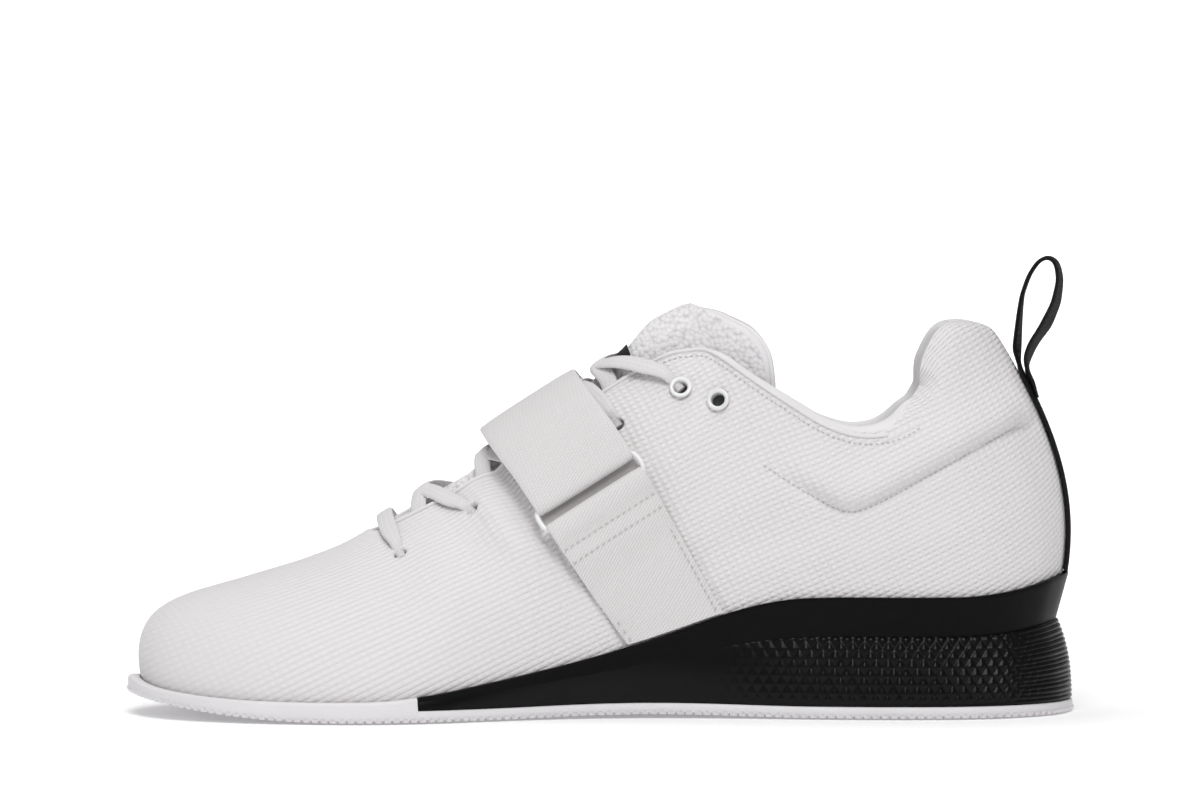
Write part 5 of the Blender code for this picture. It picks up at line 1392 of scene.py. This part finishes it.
LACE_WIDE, LACE_THICK, LACE_LIFT, LACE_SIDES = 5.6, 1.4, 1.1, 14
LACE_RINGS, LACE_EASING, LACE_DRAWN_IN, LACE_DIVE = 44, 18, 0.55, 3.4
Crossing = namedtuple("Crossing", "x lift hole_lift")
CROSSINGS = [
    Crossing(-54.5, 2.1, 1.0),
    Crossing(-36.0, 1.8, 1.0),
    Crossing(-7.0, 1.8, 1.2),
    Crossing(-0.5, 4.0, 2.0),
]
braid = Finish("flat_braid", (0.73, 0.712, 0.722), 0.7, Sheen_Weight=0.2)
plait = braid.weave(rib=0.7, bead=1.1, angle=38, beading=0.6)
braid.tint(plait, 0.88, 1.03)
braid.bump(plait, 0.14, 0.8)


def strand_rings(waypoints, holes_at):
    """Rings of a flat lace over the instep; it narrows and dives where it meets a hole."""
    waypoints = np.array(waypoints, float)
    at = np.linspace(0, len(waypoints) - 1, LACE_RINGS)
    fine = np.column_stack([np.interp(at, np.arange(len(waypoints)), c) for c in waypoints.T])
    for _ in range(LACE_EASING):
        fine[1:-1] = (fine[:-2] + 2 * fine[1:-1] + fine[2:]) / 4
    middle, out = [], []
    for x, y, lift in fine:
        place, normal = surface_point(-1 if y < 0 else 1, x, y, 1)
        middle.append(place + normal * lift)
        out.append(normal)
    middle, out = np.array(middle), np.array(out)
    way_along = np.gradient(middle, axis=0)
    part = np.linspace(0, 1, len(middle))
    narrow = np.ones(len(middle))
    for end in holes_at:
        away = np.abs(part - end)
        narrow = np.minimum(narrow, LACE_DRAWN_IN + (1 - LACE_DRAWN_IN) * ramp(away, 0.0, 0.22))
        middle = middle - out * (LACE_DIVE * (1 - ramp(away, 0.0, 0.09)))[:, None]
    wide = np.cross(way_along, out)
    wide /= np.linalg.norm(wide, axis=1, keepdims=True)
    angles = np.arange(LACE_SIDES) * 2 * math.pi / LACE_SIDES
    flat = np.sign(np.cos(angles)) * np.abs(np.cos(angles)) ** 0.7
    rings = np.array(
        [
            m
            + np.outer(flat, w) * LACE_WIDE / 2 * k
            + np.outer(np.sin(angles), n) * LACE_THICK / 2 / k**0.4
            for m, w, n, k in zip(middle, wide, out, narrow)
        ]
    )
    length = np.cumsum(np.linalg.norm(np.diff(middle, axis=0, prepend=middle[:1]), axis=1))
    u = np.tile(np.abs(np.linspace(-1, 1, LACE_SIDES)) * LACE_WIDE, (len(rings), 1))
    return rings, np.stack([u, np.repeat(length[:, None], LACE_SIDES, 1)], -1)


def lace_piece(name, strands, *nodes):
    """Strands of lace as one piece."""
    points, faces, place, base = [], [], [], 0
    for rings, uv in strands:
        rows, columns = rings.shape[:2]
        faces += (grid_quads(rows, columns, False, True).reshape(-1, 4) + base).tolist()
        faces.append(tuple(base + m for m in range(columns)))
        faces.append(tuple(base + (rows - 1) * columns + m for m in range(columns)))
        points.append(rings.reshape(-1, 3))
        place.append(uv.reshape(-1, 2))
        base += rows * columns
    points, place = np.concatenate(points), np.concatenate(place)
    piece = make_piece(name, points, faces, [braid.material], place, sharp=60)
    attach(piece, "root")
    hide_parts(*nodes)


lace_holes = []
for number in range(5):
    place, _ = hole_places[-1, number]
    lace_holes.append((place[0], abs(place[1])))
x, y = lace_holes[0]
bar = [(x, -y, LACE_LIFT), (x - 3.5, -y / 2, LACE_LIFT + 0.3), (x - 5, 0, LACE_LIFT + 0.6)]
bar += [(x - 3.5, y / 2, LACE_LIFT + 0.3), (x, y, LACE_LIFT)]
lace_piece("lace_bar", [strand_rings(bar, (0, 1))], "lace_bar_1")
crossed = []
for number, cross in enumerate(CROSSINGS, 1):
    x, y = lace_holes[number]
    before = lace_holes[number - 1][0]
    far = float(throat_half(before)) + 3.0
    tail_x = 0.6 * cross.x + 0.4 * before
    for side in (-1, 1):
        over = 0.35 * side
        strand_way = [
            (x, side * y, cross.hole_lift),
            (0.5 * (x + cross.x), 0.62 * side * y, 0.5 * (cross.hole_lift + cross.lift) + over),
            (cross.x, 0, cross.lift + over),
            (tail_x + 1.0, -side * (far - 6.5), 0.3),
            (tail_x, -side * far, -2.8),
        ]
        crossed.append(strand_rings(strand_way, (0,)))
lace_piece("lace_crossing_low", crossed[0:2], "lace_cross_2")
lace_piece("lace_crossing_second", crossed[2:4], "lace_cross_3")
lace_piece("lace_crossing_upper", crossed[4:8], "lace_cross_4")

# Heel tape: a black woven tape that covers the back seam, turns over in a pull loop and is sewn
# down again on its own end.

TAPE_WIDE, TAPE_THICK, TAPE_BEND = 12.0, 1.25, 0.7
TAPE_START_Z, TAPE_SPLIT_Z, TAPE_END_Z = 43.5, 105.5, 96.0
TWIST = np.interp(np.arange(14), (0, 1, 4, 7, 9, 11, 13), (0.12, 0.26, 0.1, 0.1, 0.2, 0.38, 0.24))
LOOP = [
    *((128.85, 108.6), (128.2, 111.5), (128.6, 117.0), (129.1, 122.8), (129.8, 128.4)),
    *((131.9, 134.4), (134.8, 138.8), (137.8, 140.3), (140.5, 138.5), (141.5, 133.1)),
    *((140.3, 126.0), (137.0, 118.7), (133.2, 113.3), (131.6, 109.0)),
]
tape = Finish("black_woven_tape", (0.0055, 0.0052, 0.006), 0.75, Specular_IOR_Level=0.15)
grain = tape.weave(rib=0.8, bead=1.0, angle=0, beading=0.5)
tape.tint(grain, 0.7, 1.5)
tape.bump(grain, 0.2, 0.9)
tape.bump(tape.noise(0.3, 2.0), 0.04, 0.5)


def heel_line(z, stand_off):
    """The back of the upper in the plane of symmetry at height z, moved back by stand_off."""
    back = wall_points(np.array([float(HEEL)]), np.linspace(0, 1, 201)[None])[0]
    x = np.interp(z, back[:, 2], back[:, 0])
    lean = np.interp(z, back[:, 2], np.gradient(back[:, 0], back[:, 2]))
    length = np.sqrt(1 + lean**2)
    return x + stand_off / length, z - stand_off * lean / length


first = GAP + TAPE_THICK / 2
second = first + TAPE_THICK + GAP
up = [heel_line(z, first) for z in np.linspace(TAPE_START_Z, TAPE_SPLIT_Z, 24)]
down = [heel_line(z, second) for z in (TAPE_SPLIT_Z - 1.5, TAPE_SPLIT_Z - 5)]
down.append(heel_line(TAPE_END_Z, first + 0.95))
path = np.array(up + LOOP + down)
flat = np.ones(len(path))
flat[len(up) : len(up) + len(LOOP)] = 0
flat = (flat + np.roll(flat, 1) + np.roll(flat, -1)) / 3
twist = np.zeros(len(path))
twist[len(up) : len(up) + len(LOOP)] = TWIST
lines = []
for y in np.linspace(-TAPE_WIDE / 2, TAPE_WIDE / 2, 17):
    bend = TAPE_BEND * (2 * y / TAPE_WIDE) ** 2 * flat - y * twist
    lines.append(np.column_stack([path[:, 0] - bend, np.full(len(path), y), path[:, 1]]))
tape_lines, tape_goal = refined(lines, 0.7, 8)
heel_tape = ribbon(
    "pull_tape", tape_lines, tape_goal, TAPE_THICK, TAPE_WIDE / 2, [tape.material], 0.06, 6.0
)
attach(heel_tape, "root")
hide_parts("heel_tape")

# Studio: a sheet of pale paper that curves up behind the shoe, large soft lights and a long lens at
# the height of the shoe.

paper = Finish("pale_paper", (0.93, 0.93, 0.935), 0.9)
paper.tint(paper.noise(400.0, 2.0), 0.99, 1.0)
paper.shader.inputs["Emission Color"].default_value = (1, 0.99, 1, 1)
paper.shader.inputs["Emission Strength"].default_value = 0.18
SWEEP_Y, SWEEP_RADIUS, SWEEP_HALF, SWEEP_TOP = 2200.0, 300.0, 3500.0, 420.0
sweep = [(-2500.0, 0.0), (SWEEP_Y, 0.0)]
sweep += [
    (SWEEP_Y + SWEEP_RADIUS * math.sin(a), SWEEP_RADIUS * (1 - math.cos(a)))
    for a in np.linspace(0, math.pi / 2, 24)[1:]
]
sweep.append((SWEEP_Y + SWEEP_RADIUS, SWEEP_TOP))
sweep_points = [(x, y, z) for y, z in sweep for x in (-SWEEP_HALF, SWEEP_HALF)]
floor = make_piece(
    "studio_floor",
    sweep_points,
    [(2 * k, 2 * k + 1, 2 * k + 3, 2 * k + 2) for k in range(len(sweep) - 1)],
    [paper.material],
)


def soft_light(name, place, aim, size, power):
    """A large square light, in metres and watts."""
    data = bpy.data.lights.new(name, "AREA")
    data.shape, data.size, data.energy = "SQUARE", size, power
    lamp = placed(name, data)
    lamp.location = place
    lamp.rotation_euler = look_along(np.array(aim, float) - np.array(place, float))


def look_along(direction):
    """Euler angles that point an object's -Z along a direction, with its Y up."""
    x, y, z = direction / np.linalg.norm(direction)
    return math.atan2(math.hypot(x, y), -z), 0.0, math.atan2(-x, y)


soft_light("key", (0.1, -1.6, 1.9), (0, 0, 0.05), 1.2, 35)
soft_light("top", (-0.2, 0.3, 2.2), (0, 0, 0), 1.8, 17)
soft_light("fill", (-2.2, -0.9, 0.7), (0, 0, 0.05), 1.4, 2.5)
soft_light("backdrop", (0, 1.4, 1.3), (0, 2.4, 0.1), 2.0, 30)
world = bpy.data.worlds.new("studio")
bpy.context.scene.world = world
world.use_nodes = True
world.node_tree.nodes["Background"].inputs["Color"].default_value = (1, 1, 1, 1)
world.node_tree.nodes["Background"].inputs["Strength"].default_value = 0.24
bpy.context.scene.view_settings.view_transform = "Standard"

CAMERA_AWAY, CAMERA_RISE, CAMERA_AIM = 2.2, math.radians(2.5), (-0.0003, 0.0, 0.0959)
lens = bpy.data.cameras.new("camera")
lens.lens, lens.sensor_width = 214, 36
camera = placed("camera", lens)
camera.location = (
    CAMERA_AIM[0],
    -CAMERA_AWAY * math.cos(CAMERA_RISE),
    CAMERA_AIM[2] + CAMERA_AWAY * math.sin(CAMERA_RISE),
)
camera.rotation_euler = (math.pi / 2 - CAMERA_RISE, 0, 0)
bpy.context.scene.camera = camera
